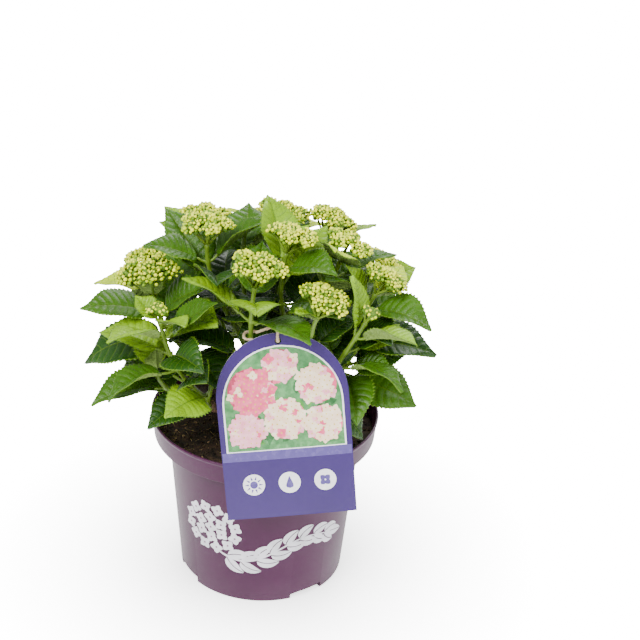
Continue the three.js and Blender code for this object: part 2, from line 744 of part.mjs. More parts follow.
// A petiole that widens into a blade: four corners round, and knife edges along the blade's sides.
function leafSolid(leaf) {
  const points = [];
  for (const [centre, radius] of [
    [leaf.root, LEAF.petioleRadius],
    [leaf.petioleEnd, LEAF.petioleRadius * LEAF.petioleTaper],
  ]) {
    for (const out of [leaf.side.clone().negate(), leaf.face, leaf.side, leaf.face.clone().negate()]) {
      points.push(centre.clone().addScaledVector(out, radius));
    }
  }
  for (const t of LEAF_STATIONS.slice(1, -1)) {
    points.push(
      leafPoint(leaf, t, -1),
      leafPoint(leaf, t, 0, LEAF.thickness / 2),
      leafPoint(leaf, t, 1),
      leafPoint(leaf, t, 0, -LEAF.thickness / 2),
    );
  }
  const tip = points.push(leafPoint(leaf, 1, 0)) - 1;
  const rows = tip / 4;
  const faces = [[3, 2, 1, 0]];
  for (let k = 0; k < 4; k++) {
    const next = (k + 1) % 4;
    for (let row = 0; row + 1 < rows; row++) {
      faces.push([row * 4 + k, row * 4 + next, (row + 1) * 4 + next, (row + 1) * 4 + k]);
    }
    faces.push([tip - 4 + k, tip - 4 + next, tip]);
  }
  return solidFrom(surface(points, faces));
}

// The cushion has a low rim and a raised top, each with two corners to a lobe and one between lobes.
function headSolid({ headCentre, facing, across, lobes }) {
  const [middle, ...around] = lobes;
  const spokes = around.map((lobe) => lobe.centre.clone().sub(headCentre).projectOnPlane(facing));
  const rim = [];
  const top = [];
  around.forEach((lobe, i) => {
    const spoke = spokes[i];
    const side = facing.clone().cross(spoke).normalize().multiplyScalar(lobe.radius * LOBE.half);
    const outer = spoke.clone().setLength(spoke.length() + lobe.radius * LOBE.reach);
    const next = spokes[(i + 1) % spokes.length];
    const notch = spoke.clone().add(next).setLength((spoke.length() + next.length()) * LOBE.between);
    const lift = lobe.centre.clone().sub(headCentre).dot(facing);
    const place = (offset, height) => headCentre.clone().add(offset).addScaledVector(facing, height);
    for (const sign of [-1, 1]) {
      const shift = side.clone().multiplyScalar(sign);
      rim.push(place(outer.clone().add(shift), lift - across * HEAD.depth * LOBE.foot));
      top.push(place(outer.clone().multiplyScalar(LOBE.top).add(shift), lift + across * HEAD.depth));
    }
    rim.push(place(notch, -across * HEAD.depth * HEAD.waist));
    top.push(place(notch.clone().multiplyScalar(LOBE.top), across * HEAD.depth * HEAD.waist));
  });
  const n = rim.length;
  const base = headCentre.clone().addScaledVector(facing, -across * HEAD.depth);
  const crown = middle.centre.clone().addScaledVector(facing, across * HEAD.depth);
  const faces = [];
  for (let i = 0; i < n; i++) {
    const next = (i + 1) % n;
    faces.push([2 * n, next, i], [i, next, n + next, n + i], [n + i, n + next, 2 * n + 1]);
  }
  return solidFrom(surface([...rim, ...top, base, crown], faces));
}

function shootSolid(shoot) {
  const points = [];
  const radii = [];
  for (let i = 0; i <= SHOOT.steps; i++) {
    const share = i / SHOOT.steps;
    points.push(shoot.line.at(shoot.line.total * share).point);
    radii.push(SHOOT.footRadius + (SHOOT.tipRadius - SHOOT.footRadius) * share);
  }
  const { base, axis } = shoot;
  points.unshift(base.clone().addScaledVector(axis, -SHOOT.sunk));
  radii.unshift(SHOOT.footRadius);
  if (shoot.across) {
    points.push(shoot.lobes[0].centre);
    radii.push(SHOOT.headRadius);
  }
  const stem = limb(points, radii, SHOOT.sides).trimByPlane([axis.x, axis.y, axis.z], axis.dot(base));
  const pieces = [stem];
  if (shoot.across) pieces.push(headSolid(shoot));
  for (const leaf of shoot.leaves) pieces.push(leafSolid(leaf));
  return wasm.Manifold.union(pieces);
}

// Growing the plant: canes, then shoots, then leaves where there is room.

function growPlant() {
  const canes = Object.entries(CANES).map(([name, cane]) => ({ name, line: caneLine(cane) }));
  const starts = canes.flatMap(({ name, line }) => shootStarts(name, line));
  const shoots = SHOOTS.map((shoot) => growShoot(starts.find((s) => s.shoot === shoot)));
  shoots.forEach((shoot) => (shoot.lobes = shoot.across ? headLobes(shoot) : []));

  const obstacles = canes.map((c) => limbSketch(c.name, "limb", c.line.points, CANE.knuckleRadius));
  for (const shoot of shoots) {
    const every = shoot.line.points.filter((_, i) => i % 3 === 0);
    obstacles.push(limbSketch(shoot.name, "limb", every, SHOOT.footRadius + 1));
    if (shoot.across) obstacles.push(headSketch(shoot));
  }
  const tie = tiePath(shoots[0]);
  const tieWidth = TIE.radius + CLEARANCE;
  obstacles.push(...labelSketches(), limbSketch("tie", "limb", tie.getPoints(TIE.steps), tieWidth));

  for (const shoot of shoots) {
    const random = makeRandom(shoot.seed);
    shoot.leaves = [];
    PAIRS.forEach((pair, row) => {
      if (pair.drop > shoot.line.total - LOWEST_NODE) return;
      for (const sideways of [0, 180]) {
        const draws = [random(), random(), random(), random(), random(), random()];
        const crossed = { ...pair, cross: 90 * (row % 2) };
        const found = TRIES.map((t) => placeLeaf(shoot, crossed, sideways, draws, t)).find((leaf) =>
          isFree(shoot, leaf, obstacles),
        );
        if (!found) continue;
        shoot.leaves.push(found);
        obstacles.push(...leafSketches(shoot.name, found));
      }
    });
  }
  return { canes, shoots, tie };
}

const looks = {
  pot: { color: 0x7a5570, roughness: 0.45 },
  mix: { color: 0x2b1d15, roughness: 1 },
  cane: { color: 0x6e5138, roughness: 0.9 },
  foliage: { color: 0x3f7a1f, roughness: 0.5 },
  label: { color: 0x6a5f9f, roughness: 0.3 },
  tie: { color: 0xd8bf8f, roughness: 0.8 },
};

function piece(name, solid, look) {
  const material = new THREE.MeshStandardMaterial({ ...looks[look], metalness: 0 });
  const mesh = new THREE.Mesh(geometryFrom(solid), material);
  mesh.name = name;
  return mesh;
}

const { canes, shoots, tie } = growPlant();
const plant = new THREE.Group();
plant.add(piece("pot", potSolid(), "pot"));
plant.add(piece("potting_mix", mixSolid(), "mix"));
canes.forEach(({ name, line }) => plant.add(piece(`cane_${name}`, caneSolid(line), "cane")));
shoots.forEach((shoot) => plant.add(piece(`shoot_${shoot.name}`, shootSolid(shoot), "foliage")));
const label = piece("plant_label", labelSolid(), "label");
label.applyMatrix4(labelPlace);
plant.add(label, piece("label_tie", tieSolid(tie), "tie"));

export default plant;
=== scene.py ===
import json
from functools import cache
from math import atan2, cos, degrees, pi, radians, sin, sqrt

import bmesh
import bpy
import numpy as np
from bpy.props import FloatProperty, FloatVectorProperty, IntProperty, PointerProperty
from mathutils import Matrix, Vector, noise

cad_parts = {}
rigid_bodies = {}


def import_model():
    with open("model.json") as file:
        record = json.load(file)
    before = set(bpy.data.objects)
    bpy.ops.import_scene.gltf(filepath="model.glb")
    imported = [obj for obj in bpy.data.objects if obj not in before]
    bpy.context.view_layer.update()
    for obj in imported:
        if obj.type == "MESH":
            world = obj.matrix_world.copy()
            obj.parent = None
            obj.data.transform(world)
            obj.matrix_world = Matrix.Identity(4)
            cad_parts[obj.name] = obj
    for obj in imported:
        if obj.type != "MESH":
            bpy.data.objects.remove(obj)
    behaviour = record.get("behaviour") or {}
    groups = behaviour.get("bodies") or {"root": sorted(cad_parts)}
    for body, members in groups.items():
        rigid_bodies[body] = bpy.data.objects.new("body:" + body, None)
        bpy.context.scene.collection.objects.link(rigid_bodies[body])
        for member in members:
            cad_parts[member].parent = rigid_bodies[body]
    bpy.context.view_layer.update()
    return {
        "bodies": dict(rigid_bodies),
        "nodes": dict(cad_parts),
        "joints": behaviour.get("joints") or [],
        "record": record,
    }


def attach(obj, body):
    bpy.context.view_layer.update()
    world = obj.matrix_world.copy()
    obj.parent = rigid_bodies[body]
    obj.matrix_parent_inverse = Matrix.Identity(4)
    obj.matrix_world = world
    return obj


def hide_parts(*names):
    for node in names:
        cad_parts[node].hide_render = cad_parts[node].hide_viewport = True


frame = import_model()

bl_info = {
    "name": "Potted Hydrangea",
    "version": (1, 0, 0),
    "blender": (4, 5, 0),
    "location": "View3D > Sidebar > Hydrangea",
    "description": "Grows a young hydrangea in bud, in its nursery pot with a plant label",
    "category": "Add Mesh",
}

# The plant is worked out in millimetres. Blender's objects are in metres.
MM = 0.001
UP = np.array([0.0, 0.0, 1.0])
GAP = 0.3
# The turn from each of a spiral's points to the next, in degrees, which spreads them evenly.
GOLDEN_ANGLE = 137.508
# What starts each kind of random draw. A shoot multiplies the first three by its own seed.
SEEDS = dict(lobes=7919, leaves=101, heads=433, print=907, crumbs=71)

# The pot, by its outline from the foot to the rim.
POT = dict(
    height=178,
    rim_radius=115,
    band_height=23.5,
    band_foot_radius=112,
    shoulder_radius=97.5,
    foot_radius=84,
    wall=2.2,
    floor=2.5,
    channel_inner=56,
    channel_outer=70,
    channel_height=6.5,
)
SHOULDER = POT["height"] - POT["band_height"]
NOTCH = dict(angles=(27, 124, 207, 304), width=37, depth=16, height=6.5)
DRAIN = dict(count=8, ring_radius=63, radius=4.5)
MIX = dict(edge_top=159, crown_top=163, crown_radius=38)

# The label leans back on the rim. Its foot, middle and top are measured up its face from the rim.
LABEL = dict(
    lean=14,
    roll=6.3,
    across=23.9,
    thickness=0.9,
    foot_width=123.5,
    shoulder_width=125,
    foot=-45.5,
    shoulder=72.3,
    hole_rise=126.9,
    hole_radius=3,
    room=2,
)
LABEL_TOP = LABEL["shoulder"] + LABEL["shoulder_width"] / 2
TIE = dict(radius=1.5, steps=24, height=292, rise=5)

# The woody canes: where each leaves the mix, and where it forks.
CANE = dict(foot_radius=4.6, tip_radius=3.6, knuckle_radius=6.3, flare=1.35, samples=8)
# How far a cane's curve goes straight up from its foot and upright and outward to its fork, in shares.
CANE_CURVE = dict(foot=0.4, fork=0.35, outward=0.3)
CANES = {
    "front": ((-4, -20), (-7, -42, 216)),
    "front_right": ((17, -17), (40, -46, 216)),
    "front_left": ((-21, -14), (-56, -46, 208)),
    "left": ((-26, 3), (-66, 6, 222)),
    "centre": ((-5, 3), (-16, 4, 236)),
    "centre_right": ((12, 2), (22, 0, 232)),
    "right": ((27, 3), (62, -2, 220)),
    "back_right": ((16, 20), (36, 54, 214)),
    "back_left": ((-13, 20), (-38, 54, 214)),
}

# The green shoots: the centre of each flower head, or of the tip leaves where its width is 0.
# A head is an oval, shorter from front to back by the share in HEAD unless it has its own.
SHOOTS = [
    ("front_centre", "front", (-9, -82, 376), 54),
    ("front_right", "front_right", (53, -88, 348), 51),
    ("left_outer", "left", (-114, -30, 342), 62, 0.6),
    ("left_low", "front_left", (-101, -86, 330), 25),
    ("left_upper", "centre", (-60, -16, 388), 50),
    ("middle", "centre_right", (21, -42, 391), 46),
    ("right_upper", "right", (76, -16, 372), 47),
    ("right_outer", "right", (112, -34, 345), 44),
    ("right_front", "front_right", (96, -84, 332), 22),
    ("back_centre", "centre_right", (14, 34, 382), 52),
    ("crown_leaves", "centre", (-24, 6, 374), 0),
    ("back_left_upper", "back_left", (-64, 58, 366), 50),
    ("back_right_upper", "back_right", (62, 66, 362), 50),
    ("back_middle", "back_right", (2, 108, 342), 48),
    ("right_back", "back_right", (112, 48, 326), 44),
    ("left_back", "left", (-120, 42, 324), 48),
    ("back_left_low", "back_left", (-70, 110, 305), 0),
    ("left_skirt", "front_left", (-105, -60, 250), 0),
    ("right_skirt", "right", (85, -52, 276), 0),
    ("front_skirt", "front_left", (-52, -72, 248), 0),
    ("back_skirt", "back_left", (-10, 105, 260), 0),
]
SHOOT = dict(foot_radius=2.7, tip_radius=2.0, ring_offset=3.4, samples=24)
# How far a shoot's curve follows its cane and then its flower head, in shares of its reach.
SHOOT_CURVE = dict(cane=0.22, head=0.42)

# A flower head is a low cushion of buds with a few rounded lobes, in shares of its width.
HEAD = dict(
    rise=0.34,
    min_rise=5,
    oval=0.8,
    lobe_radius=0.18,
    crown=0.04,
    lean_across=0.003,
    lean_from=-60,
    lean_along=0.0014,
)
# How far lobes stray: round the ring in shares of a step, outward, up and in size.
LOBE_STRAY = dict(turn=0.3, out=(0.94, 0.14), lift=(-0.035, 0.05), size=(0.92, 0.16))
# The room that a head needs: a drum between two heights, and a point above it.
HEAD_ROOM = dict(foot=-0.1, brim=0.14, crown=0.24, radius=0.52)
LARGE_HEAD = dict(least=40, lobes=5, ring_radius=0.32)
SMALL_HEAD = dict(lobes=3, ring_radius=0.26)

# Leaf pairs down a shoot: distance below the tip, blade length, petiole, angle off the stem, bend.
PAIRS = [
    dict(drop=2, blade=54, petiole=7, splay=46, bend=14),
    dict(drop=20, blade=64, petiole=11, splay=56, bend=26),
    dict(drop=40, blade=70, petiole=14, splay=65, bend=34),
    dict(drop=62, blade=70, petiole=17, splay=73, bend=42),
    dict(drop=86, blade=64, petiole=19, splay=80, bend=48),
    dict(drop=114, blade=56, petiole=20, splay=86, bend=50),
]
LEAF = dict(aspect=0.8, margin=1.9, petiole_radius=1.4, lowest=6, rim_room=8)
# A leaf turns its face up by a share, and rises a little more where it would hang below level.
LIGHT = dict(turn_up=0.55, rise=0.05, hanging=0.1, hanging_rise=0.3)
# A blade's midrib first rises by this share of its bend.
MIDRIB_START = 0.35
# Leaf pairs start this far above a shoot's foot.
LOWEST_NODE = 8
# The room that a petiole and the tie keep round them.
CLEARANCE = 0.8
TOP_PAIR_TURN = 90
LEAF_SIZE = dict(least=0.72, per_millimetre=0.0045, leafy=0.95)
STRAY = dict(turn=24, splay=18, roll=52, size=(0.9, 0.22), bend=(0.3, 1.2), fold=(9, 22))
STATIONS = np.array([0, 0.25, 0.55, 0.82, 1])
PLACES = [(0, 0), (0, -14), (0, 14), (15, 0), (-15, 0), (0, -28), (20, -16), (-20, -16), (30, 6), (-30, 6)]
TRIES = [(turn, splay, size) for size in (1, 0.88, 0.76, 0.62) for turn, splay in PLACES]

# The camera stands where the photograph was taken.
CAMERA = dict(eye=(0.0, -1.4023, 0.998), azimuth=-2.10, elevation=27.10, roll=2.57, lens=90, sensor=36)


# Vectors and lines


def unit(v):
    return v / np.linalg.norm(v)


def units(rows, least=0.0):
    """Each row at unit length. A least length keeps a row of nothing from being divided by nothing."""
    return rows / (np.linalg.norm(rows, axis=1, keepdims=True) + least)


def cross(a, b):
    """The cross product of arrays of vectors, by their components."""
    return np.stack(
        [
            a[..., 1] * b[..., 2] - a[..., 2] * b[..., 1],
            a[..., 2] * b[..., 0] - a[..., 0] * b[..., 2],
            a[..., 0] * b[..., 1] - a[..., 1] * b[..., 0],
        ],
        axis=-1,
    )


def random_by(seed):
    """A repeatable random number from 0 to 1, by the Park-Miller rule."""
    state = (seed * 48271) % 2147483647

    def draw():
        nonlocal state
        state = (state * 16807) % 2147483647
        return state / 2147483647

    return draw


def square_to(axis):
    """Two directions square to an axis, the first as near +X as can be."""
    first = unit(np.array([1.0, 0, 0]) - axis * axis[0])
    return first, cross(axis, first)


def hump(distance, reach):
    """A smooth rise to 1 where the distance is nothing."""
    return np.exp(-((distance / reach) ** 2))


def turned_by(square, turn):
    angle = radians(turn)
    return square[0] * cos(angle) + square[1] * sin(angle)


class Line:
    """A line of points, with the place and direction at a length along it."""

    def __init__(self, points):
        self.points = points
        steps = np.linalg.norm(np.diff(points, axis=0), axis=1)
        self.lengths = np.concatenate([[0], np.cumsum(steps)])
        self.total = self.lengths[-1]

    def at(self, length):
        want = min(max(length, 0), self.total)
        i = 1
        while i < len(self.points) - 1 and self.lengths[i] < want:
            i += 1
        share = (want - self.lengths[i - 1]) / (self.lengths[i] - self.lengths[i - 1])
        step = self.points[i] - self.points[i - 1]
        return self.points[i - 1] + step * share, unit(step)


def curve(p0, p1, p2, p3, samples):
    t = (np.arange(samples + 1) / samples)[:, None]
    s = 1 - t
    return Line(s**3 * p0 + 3 * s * s * t * p1 + 3 * s * t * t * p2 + t**3 * p3)


# Growing the plant's lines


def cane_line(foot, fork):
    base = np.array([foot[0], foot[1], MIX["crown_top"] + GAP])
    tip = np.array(fork, float)
    rise = tip[2] - base[2]
    outward = (tip - base) * [1, 1, 0]
    return curve(
        base,
        base + UP * rise * CANE_CURVE["foot"],
        tip - UP * rise * CANE_CURVE["fork"] - outward * CANE_CURVE["outward"],
        tip,
        CANE["samples"],
    )


def shoot_starts(cane, line):
    """The shoots of one cane share its tip: each starts on its own side of the knuckle."""
    point, direction = line.at(line.total)
    square = square_to(direction)
    mine = []
    for number, (_, of_cane, head, *_) in enumerate(SHOOTS):
        if of_cane == cane:
            way = np.array(head) - point
            mine.append((degrees(atan2(way @ square[1], way @ square[0])), number))
    mine.sort()
    step = 360 / len(mine)
    mean = sum(bearing - i * step for i, (bearing, _) in enumerate(mine)) / len(mine)
    offset = SHOOT["ring_offset"] if len(mine) > 1 else 0
    return {
        number: (point + direction * GAP + turned_by(square, mean + i * step) * offset, direction)
        for i, (_, number) in enumerate(mine)
    }


def grow_shoot(number, base, axis):
    name, _, head, across, *own = SHOOTS[number]
    name = f"shoot_{name}"
    head = np.array(head, float)
    across_lean = (head[0] - HEAD["lean_from"]) * HEAD["lean_across"]
    facing = unit(UP + np.array([across_lean, head[1] * HEAD["lean_along"], 0]))
    tip = head - facing * (across * HEAD["rise"] + HEAD["min_rise"] if across else 0)
    reach = np.linalg.norm(tip - base)
    start, end = axis * reach * SHOOT_CURVE["cane"], facing * reach * SHOOT_CURVE["head"]
    line = curve(base, base + start, tip - end, tip, SHOOT["samples"])
    size = LEAF_SIZE["least"] + LEAF_SIZE["per_millimetre"] * across if across else LEAF_SIZE["leafy"]
    turn = degrees(atan2(head[1], head[0])) + TOP_PAIR_TURN
    shoot = dict(name=name, across=across, head=head, line=line, facing=facing)
    shoot.update(turn=turn, size=size, seed=number + 1, leaves=[])
    shoot["oval"] = own[0] if own else HEAD["oval"]
    shoot["lobes"] = head_lobes(shoot) if across else []
    return shoot


def oval_to(shoot):
    """The sides of a flower head, which is shorter from front to back."""
    first, second = square_to(shoot["facing"])
    return first, second * shoot["oval"]


def tapered(limb, share):
    """The radius of a cane or shoot at a share of its length."""
    return limb["foot_radius"] + (limb["tip_radius"] - limb["foot_radius"]) * share


def stray(spread, share):
    """A value that strays from the rule: the least, and the range above it."""
    return spread[0] + spread[1] * share


def head_lobes(shoot):
    """The lobes of a flower head: the middle one and a ring of five, or three on a small head."""
    draw = random_by(shoot["seed"] * SEEDS["lobes"])
    across, facing = shoot["across"], shoot["facing"]
    square = oval_to(shoot)
    ring = LARGE_HEAD if across > LARGE_HEAD["least"] else SMALL_HEAD
    lobes = [(shoot["head"] + facing * across * HEAD["crown"], across * HEAD["lobe_radius"])]
    for k in range(ring["lobes"]):
        angle = shoot["turn"] + 360 / ring["lobes"] * (k + LOBE_STRAY["turn"] * (draw() - 0.5))
        out = across * ring["ring_radius"] * stray(LOBE_STRAY["out"], draw())
        lift = across * stray(LOBE_STRAY["lift"], draw())
        radius = across * HEAD["lobe_radius"] * stray(LOBE_STRAY["size"], draw())
        lobes.append((shoot["head"] + turned_by(square, angle) * out + facing * lift, radius))
    return lobes


# Leaves


def blade_shape(t):
    """Half the width of a blade, as a share of its widest, at a share of its length."""
    bow = np.maximum(np.sin(pi * np.power(t, 0.78)), 0)
    return bow**0.74 * (1 - 0.2 * t**3)


def place_leaf(shoot, pair, cross_turn, draws, attempt):
    """A leaf's own frame. It grows from the stem at its node and turns its face towards the light."""
    turn, splay, size = attempt
    root, direction = shoot["line"].at(shoot["line"].total - pair["drop"])
    square = square_to(direction)
    outward = turned_by(square, shoot["turn"] + cross_turn + turn + STRAY["turn"] * (draws[0] - 0.5))
    angle = radians(pair["splay"] + splay + STRAY["splay"] * (draws[1] - 0.5))
    along = direction * cos(angle) + outward * sin(angle)
    along = unit(along + UP * LIGHT["hanging_rise" if along[2] < LIGHT["hanging"] else "rise"])
    face = direction + (UP - direction) * LIGHT["turn_up"]
    face = unit(face - along * (face @ along))
    side = cross(along, face)
    roll = radians(STRAY["roll"] * (draws[2] - 0.5))
    face = face * cos(roll) + side * sin(roll)
    side = cross(along, face)
    scale = shoot["size"] * size * stray(STRAY["size"], draws[3])
    return dict(
        root=root,
        petiole_end=root + along * pair["petiole"] * (0.8 + 0.2 * size),
        along=along,
        face=face,
        side=side,
        length=pair["blade"] * scale,
        half_width=0.5 * pair["blade"] * scale * LEAF["aspect"],
        bend=radians(pair["bend"] * stray(STRAY["bend"], draws[4])),
        fold=radians(stray(STRAY["fold"], draws[5])),
    )


def leaf_points(leaf, t, u, lift=0):
    """Points of a blade, by shares of its length and half width. The midrib bends, the halves fold."""
    start = MIDRIB_START * leaf["bend"]
    turn = start - leaf["bend"] * (1 + MIDRIB_START) * t
    mean = (start + turn) / 2
    chord = leaf["length"] * t
    face = np.multiply.outer(np.cos(turn), leaf["face"]) - np.multiply.outer(np.sin(turn), leaf["along"])
    width = leaf["half_width"] * blade_shape(t) * u
    rise = np.abs(width) * sin(leaf["fold"]) + lift
    return (
        leaf["petiole_end"]
        + np.multiply.outer(chord * np.cos(mean), leaf["along"])
        + np.multiply.outer(chord * np.sin(mean), leaf["face"])
        + np.multiply.outer(width * cos(leaf["fold"]), leaf["side"])
        + face * rise[..., None]
    )


# Room for the leaves: rough sheets stand for the pieces, as triangles and the lines in them


def crossing(lines, triangles):
    """Whether any of the lines passes through any of the triangles."""
    if not len(lines) or not len(triangles):
        return False
    low, high = lines.min(axis=(0, 1)), lines.max(axis=(0, 1))
    near = ((triangles.max(axis=1) >= low) & (triangles.min(axis=1) <= high)).all(axis=1)
    triangles = triangles[near]
    if not len(triangles):
        return False
    start, way = lines[:, None, 0], (lines[:, 1] - lines[:, 0])[:, None]
    corner = triangles[None, :, 0]
    first, second = triangles[None, :, 1] - corner, triangles[None, :, 2] - corner
    slant = cross(way, second)
    det = (first * slant).sum(-1)
    flat = np.abs(det) < 1e-9
    det = np.where(flat, 1, det)
    offset = start - corner
    u = (offset * slant).sum(-1) / det
    turned = cross(offset, first)
    v = (way * turned).sum(-1) / det
    t = (second * turned).sum(-1) / det
    return bool((~flat & (u >= 0) & (u <= 1) & (v >= 0) & (u + v <= 1) & (t >= 0) & (t <= 1)).any())


def limb_sheets(points, radius):
    """A limb's sketch is two crossed ribbons, a little wider than the limb."""
    triangles, lines = [], []
    for p, q in zip(points[:-1], points[1:]):
        for side in square_to(unit(q - p)):
            a, b, c, d = p + side * radius, q + side * radius, p - side * radius, q - side * radius
            triangles += [(a, b, c), (b, d, c)]
            lines += [(a, b), (c, d)]
    return np.array(triangles), np.array(lines)


def grid_triangles(grid):
    triangles = []
    for upper, lower in zip(grid[:-1], grid[1:]):
        for k in range(2):
            triangles += [(upper[k], lower[k], upper[k + 1]), (lower[k], lower[k + 1], upper[k + 1])]
    return triangles


def grid_lines(grid):
    lines = [(upper[k], lower[k]) for upper, lower in zip(grid[:-1], grid[1:]) for k in range(3)]
    return lines + [(row[k], row[k + 1]) for row in grid[1:-1] for k in range(2)]


def leaf_grid(leaf, lift=0):
    t, u = np.meshgrid(STATIONS, [-1.0, 0.0, 1.0], indexing="ij")
    return leaf_points(leaf, t, u, np.full(t.shape, float(lift)))


def leaf_sheets(leaf):
    """A leaf in place is a closed slab a little thicker than the leaf."""
    upper, lower = leaf_grid(leaf, LEAF["margin"]), leaf_grid(leaf, -LEAF["margin"])
    walls = []
    for k in (0, 2):
        for i in range(len(upper) - 1):
            walls.append((upper[i, k], upper[i + 1, k], lower[i, k]))
            walls.append((upper[i + 1, k], lower[i + 1, k], lower[i, k]))
    triangles = grid_triangles(upper) + grid_triangles(lower) + walls
    return np.array(triangles), np.array(grid_lines(leaf_grid(leaf)))


def petiole_sheets(leaf):
    return limb_sheets([leaf["root"], leaf["petiole_end"]], LEAF["petiole_radius"] + CLEARANCE)


def head_sheets(shoot):
    """A flower head stands as a low six-sided drum on a cone."""
    across, facing, head = shoot["across"], shoot["facing"], shoot["head"]
    square = square_to(facing)
    bottom, _ = shoot["line"].at(shoot["line"].total)
    top = head + facing * across * HEAD_ROOM["crown"]
    spokes = [turned_by(square, angle) * across * HEAD_ROOM["radius"] for angle in range(0, 360, 60)]
    foot, brim = (facing * across * HEAD_ROOM[level] for level in ("foot", "brim"))
    triangles, lines = [], []
    for i in range(6):
        here, after = head + spokes[i], head + spokes[(i + 1) % 6]
        a, b, c, d = here + foot, after + foot, here + brim, after + brim
        triangles += [(a, b, bottom), (a, b, c), (b, d, c), (c, d, top)]
        lines += [(a, b), (c, d), (a, c), (a, bottom), (c, top)]
    return np.array(triangles), np.array(lines)


def on_label(across, up, out=0.0):
    """A point on the label's face, from its place across and up the face, in front of it by out."""
    return np.array(label_place() @ Vector((across, up, LABEL["thickness"] + out)))


@cache
def label_place():
    tilt = Matrix.Rotation(radians(90 - LABEL["lean"]), 4, "X")
    roll = Matrix.Rotation(radians(LABEL["roll"]), 4, "Z")
    foot = Matrix.Translation((LABEL["across"], -POT["rim_radius"], POT["height"]))
    return foot @ tilt @ roll @ Matrix.Translation((0, 0, GAP))


def label_sheets(out):
    half = LABEL["shoulder_width"] / 2
    a, b = on_label(-half, LABEL["foot"], out), on_label(half, LABEL["foot"], out)
    c, d = on_label(half, LABEL_TOP, out), on_label(-half, LABEL_TOP, out)
    return np.array([(a, b, c), (a, c, d)]), np.array([(a, b), (b, c), (c, d), (d, a)])


def closed_spline(points, samples):
    """A closed centripetal Catmull-Rom curve through the points."""
    count = len(points)
    result = []
    for sample in range(samples + 1):
        place = count * sample / samples
        i = int(place)
        w = place - i
        p0, p1, p2, p3 = (points[(i + k) % count] for k in (-1, 0, 1, 2))
        d0, d1, d2 = (sqrt(np.linalg.norm(b - a)) for a, b in ((p0, p1), (p1, p2), (p2, p3)))
        m1 = ((p1 - p0) / d0 - (p2 - p0) / (d0 + d1) + (p2 - p1) / d1) * d1
        m2 = ((p2 - p1) / d1 - (p3 - p1) / (d1 + d2) + (p3 - p2) / d2) * d1
        square, cube = 3 * (p2 - p1) - 2 * m1 - m2, 2 * (p1 - p2) + m1 + m2
        result.append(p1 + m1 * w + square * w**2 + cube * w**3)
    return np.array(result)


def tie_points(shoot, samples):
    """The tie goes round the front centre shoot, through the hole from behind and over the top edge."""
    edge = LABEL_TOP - LABEL["hole_rise"]

    def hole(out, up):
        return on_label(0, LABEL["hole_rise"] + up, out)

    stem = next(p for p in shoot["line"].points if p[2] > TIE["height"])
    clear = SHOOT["foot_radius"] + TIE["radius"] + 3 * GAP
    knots = [
        hole(-3, 0.2),
        hole(1.8, 0.4),
        hole(2.4, edge * 0.6),
        hole(0.6, edge + TIE["rise"]),
        stem + (clear + 0.8, 1 - clear, TIE["rise"]),
        stem + (clear, clear, 0.6),
        stem + (0, clear * 1.3, 0),
        stem + (-clear, clear, -0.6),
        stem + (-clear - 0.6, 1 - clear, -2),
        hole(-8, -1.5),
    ]
    return closed_spline(knots, samples)


class Room:
    """What already takes up space. A shoot's leaves may touch its own stem, and blades its petioles."""

    def __init__(self):
        self.sheets = []

    def add(self, owner, kind, sheets):
        triangles, lines = sheets
        points = triangles.reshape(-1, 3)
        self.sheets.append((owner, kind, triangles, lines, points.min(axis=0), points.max(axis=0)))

    def is_free(self, owner, leaf):
        grid = leaf_grid(leaf)
        inside = np.hypot(grid[..., 0], grid[..., 1]) < POT["rim_radius"] - LEAF["rim_room"]
        floor = np.where(inside, MIX["crown_top"], POT["height"]) + LEAF["lowest"]
        if (grid[..., 2] < floor).any():
            return False
        blade = np.array(grid_triangles(grid)), np.array(grid_lines(grid))
        petiole = petiole_sheets(leaf)
        strangers = [s for s in self.sheets if s[0] != owner]
        blocking = [s for s in self.sheets if s[0] != owner or s[1] not in ("limb", "petiole")]
        return not self.touches(blade, blocking) and not self.touches(petiole, strangers)

    def touches(self, shape, sheets):
        triangles, lines = shape
        points = triangles.reshape(-1, 3)
        low, high = points.min(axis=0), points.max(axis=0)
        near = [s for s in sheets if (s[5] >= low).all() and (s[4] <= high).all()]
        if not near:
            return False
        return crossing(lines, np.concatenate([s[2] for s in near])) or crossing(
            np.concatenate([s[3] for s in near]), triangles
        )


@cache
def plant():
    """The canes and shoots, worked out once: canes, then shoots, then leaves where there is room."""
    canes = {name: cane_line(foot, fork) for name, (foot, fork) in CANES.items()}
    starts = {}
    for name, line in canes.items():
        starts.update(shoot_starts(name, line))
    shoots = [grow_shoot(number, *starts[number]) for number in range(len(SHOOTS))]

    room = Room()
    for name, line in canes.items():
        room.add("cane", "wood", limb_sheets(line.points, CANE["knuckle_radius"]))
    for shoot in shoots:
        room.add(shoot["name"], "limb", limb_sheets(shoot["line"].points[::3], SHOOT["foot_radius"] + 1))
        if shoot["across"]:
            room.add(shoot["name"], "head", head_sheets(shoot))
    for out in (LABEL["room"], -LABEL["thickness"] - LABEL["room"]):
        room.add("label", "card", label_sheets(out))
    room.add("tie", "wood", limb_sheets(tie_points(shoots[0], TIE["steps"]), TIE["radius"] + CLEARANCE))

    for shoot in shoots:
        draw = random_by(shoot["seed"])
        for row, pair in enumerate(PAIRS):
            if pair["drop"] > shoot["line"].total - LOWEST_NODE:
                continue
            for sideways in (0, 180):
                draws = [draw() for _ in range(6)]
                cross_turn = 90 * (row % 2) + sideways
                for attempt in TRIES:
                    leaf = place_leaf(shoot, pair, cross_turn, draws, attempt)
                    if room.is_free(shoot["name"], leaf):
                        leaf["row"] = row
                        shoot["leaves"].append(leaf)
                        room.add(shoot["name"], "blade", leaf_sheets(leaf))
                        room.add(shoot["name"], "petiole", petiole_sheets(leaf))
                        break
    return canes, shoots


# Meshes


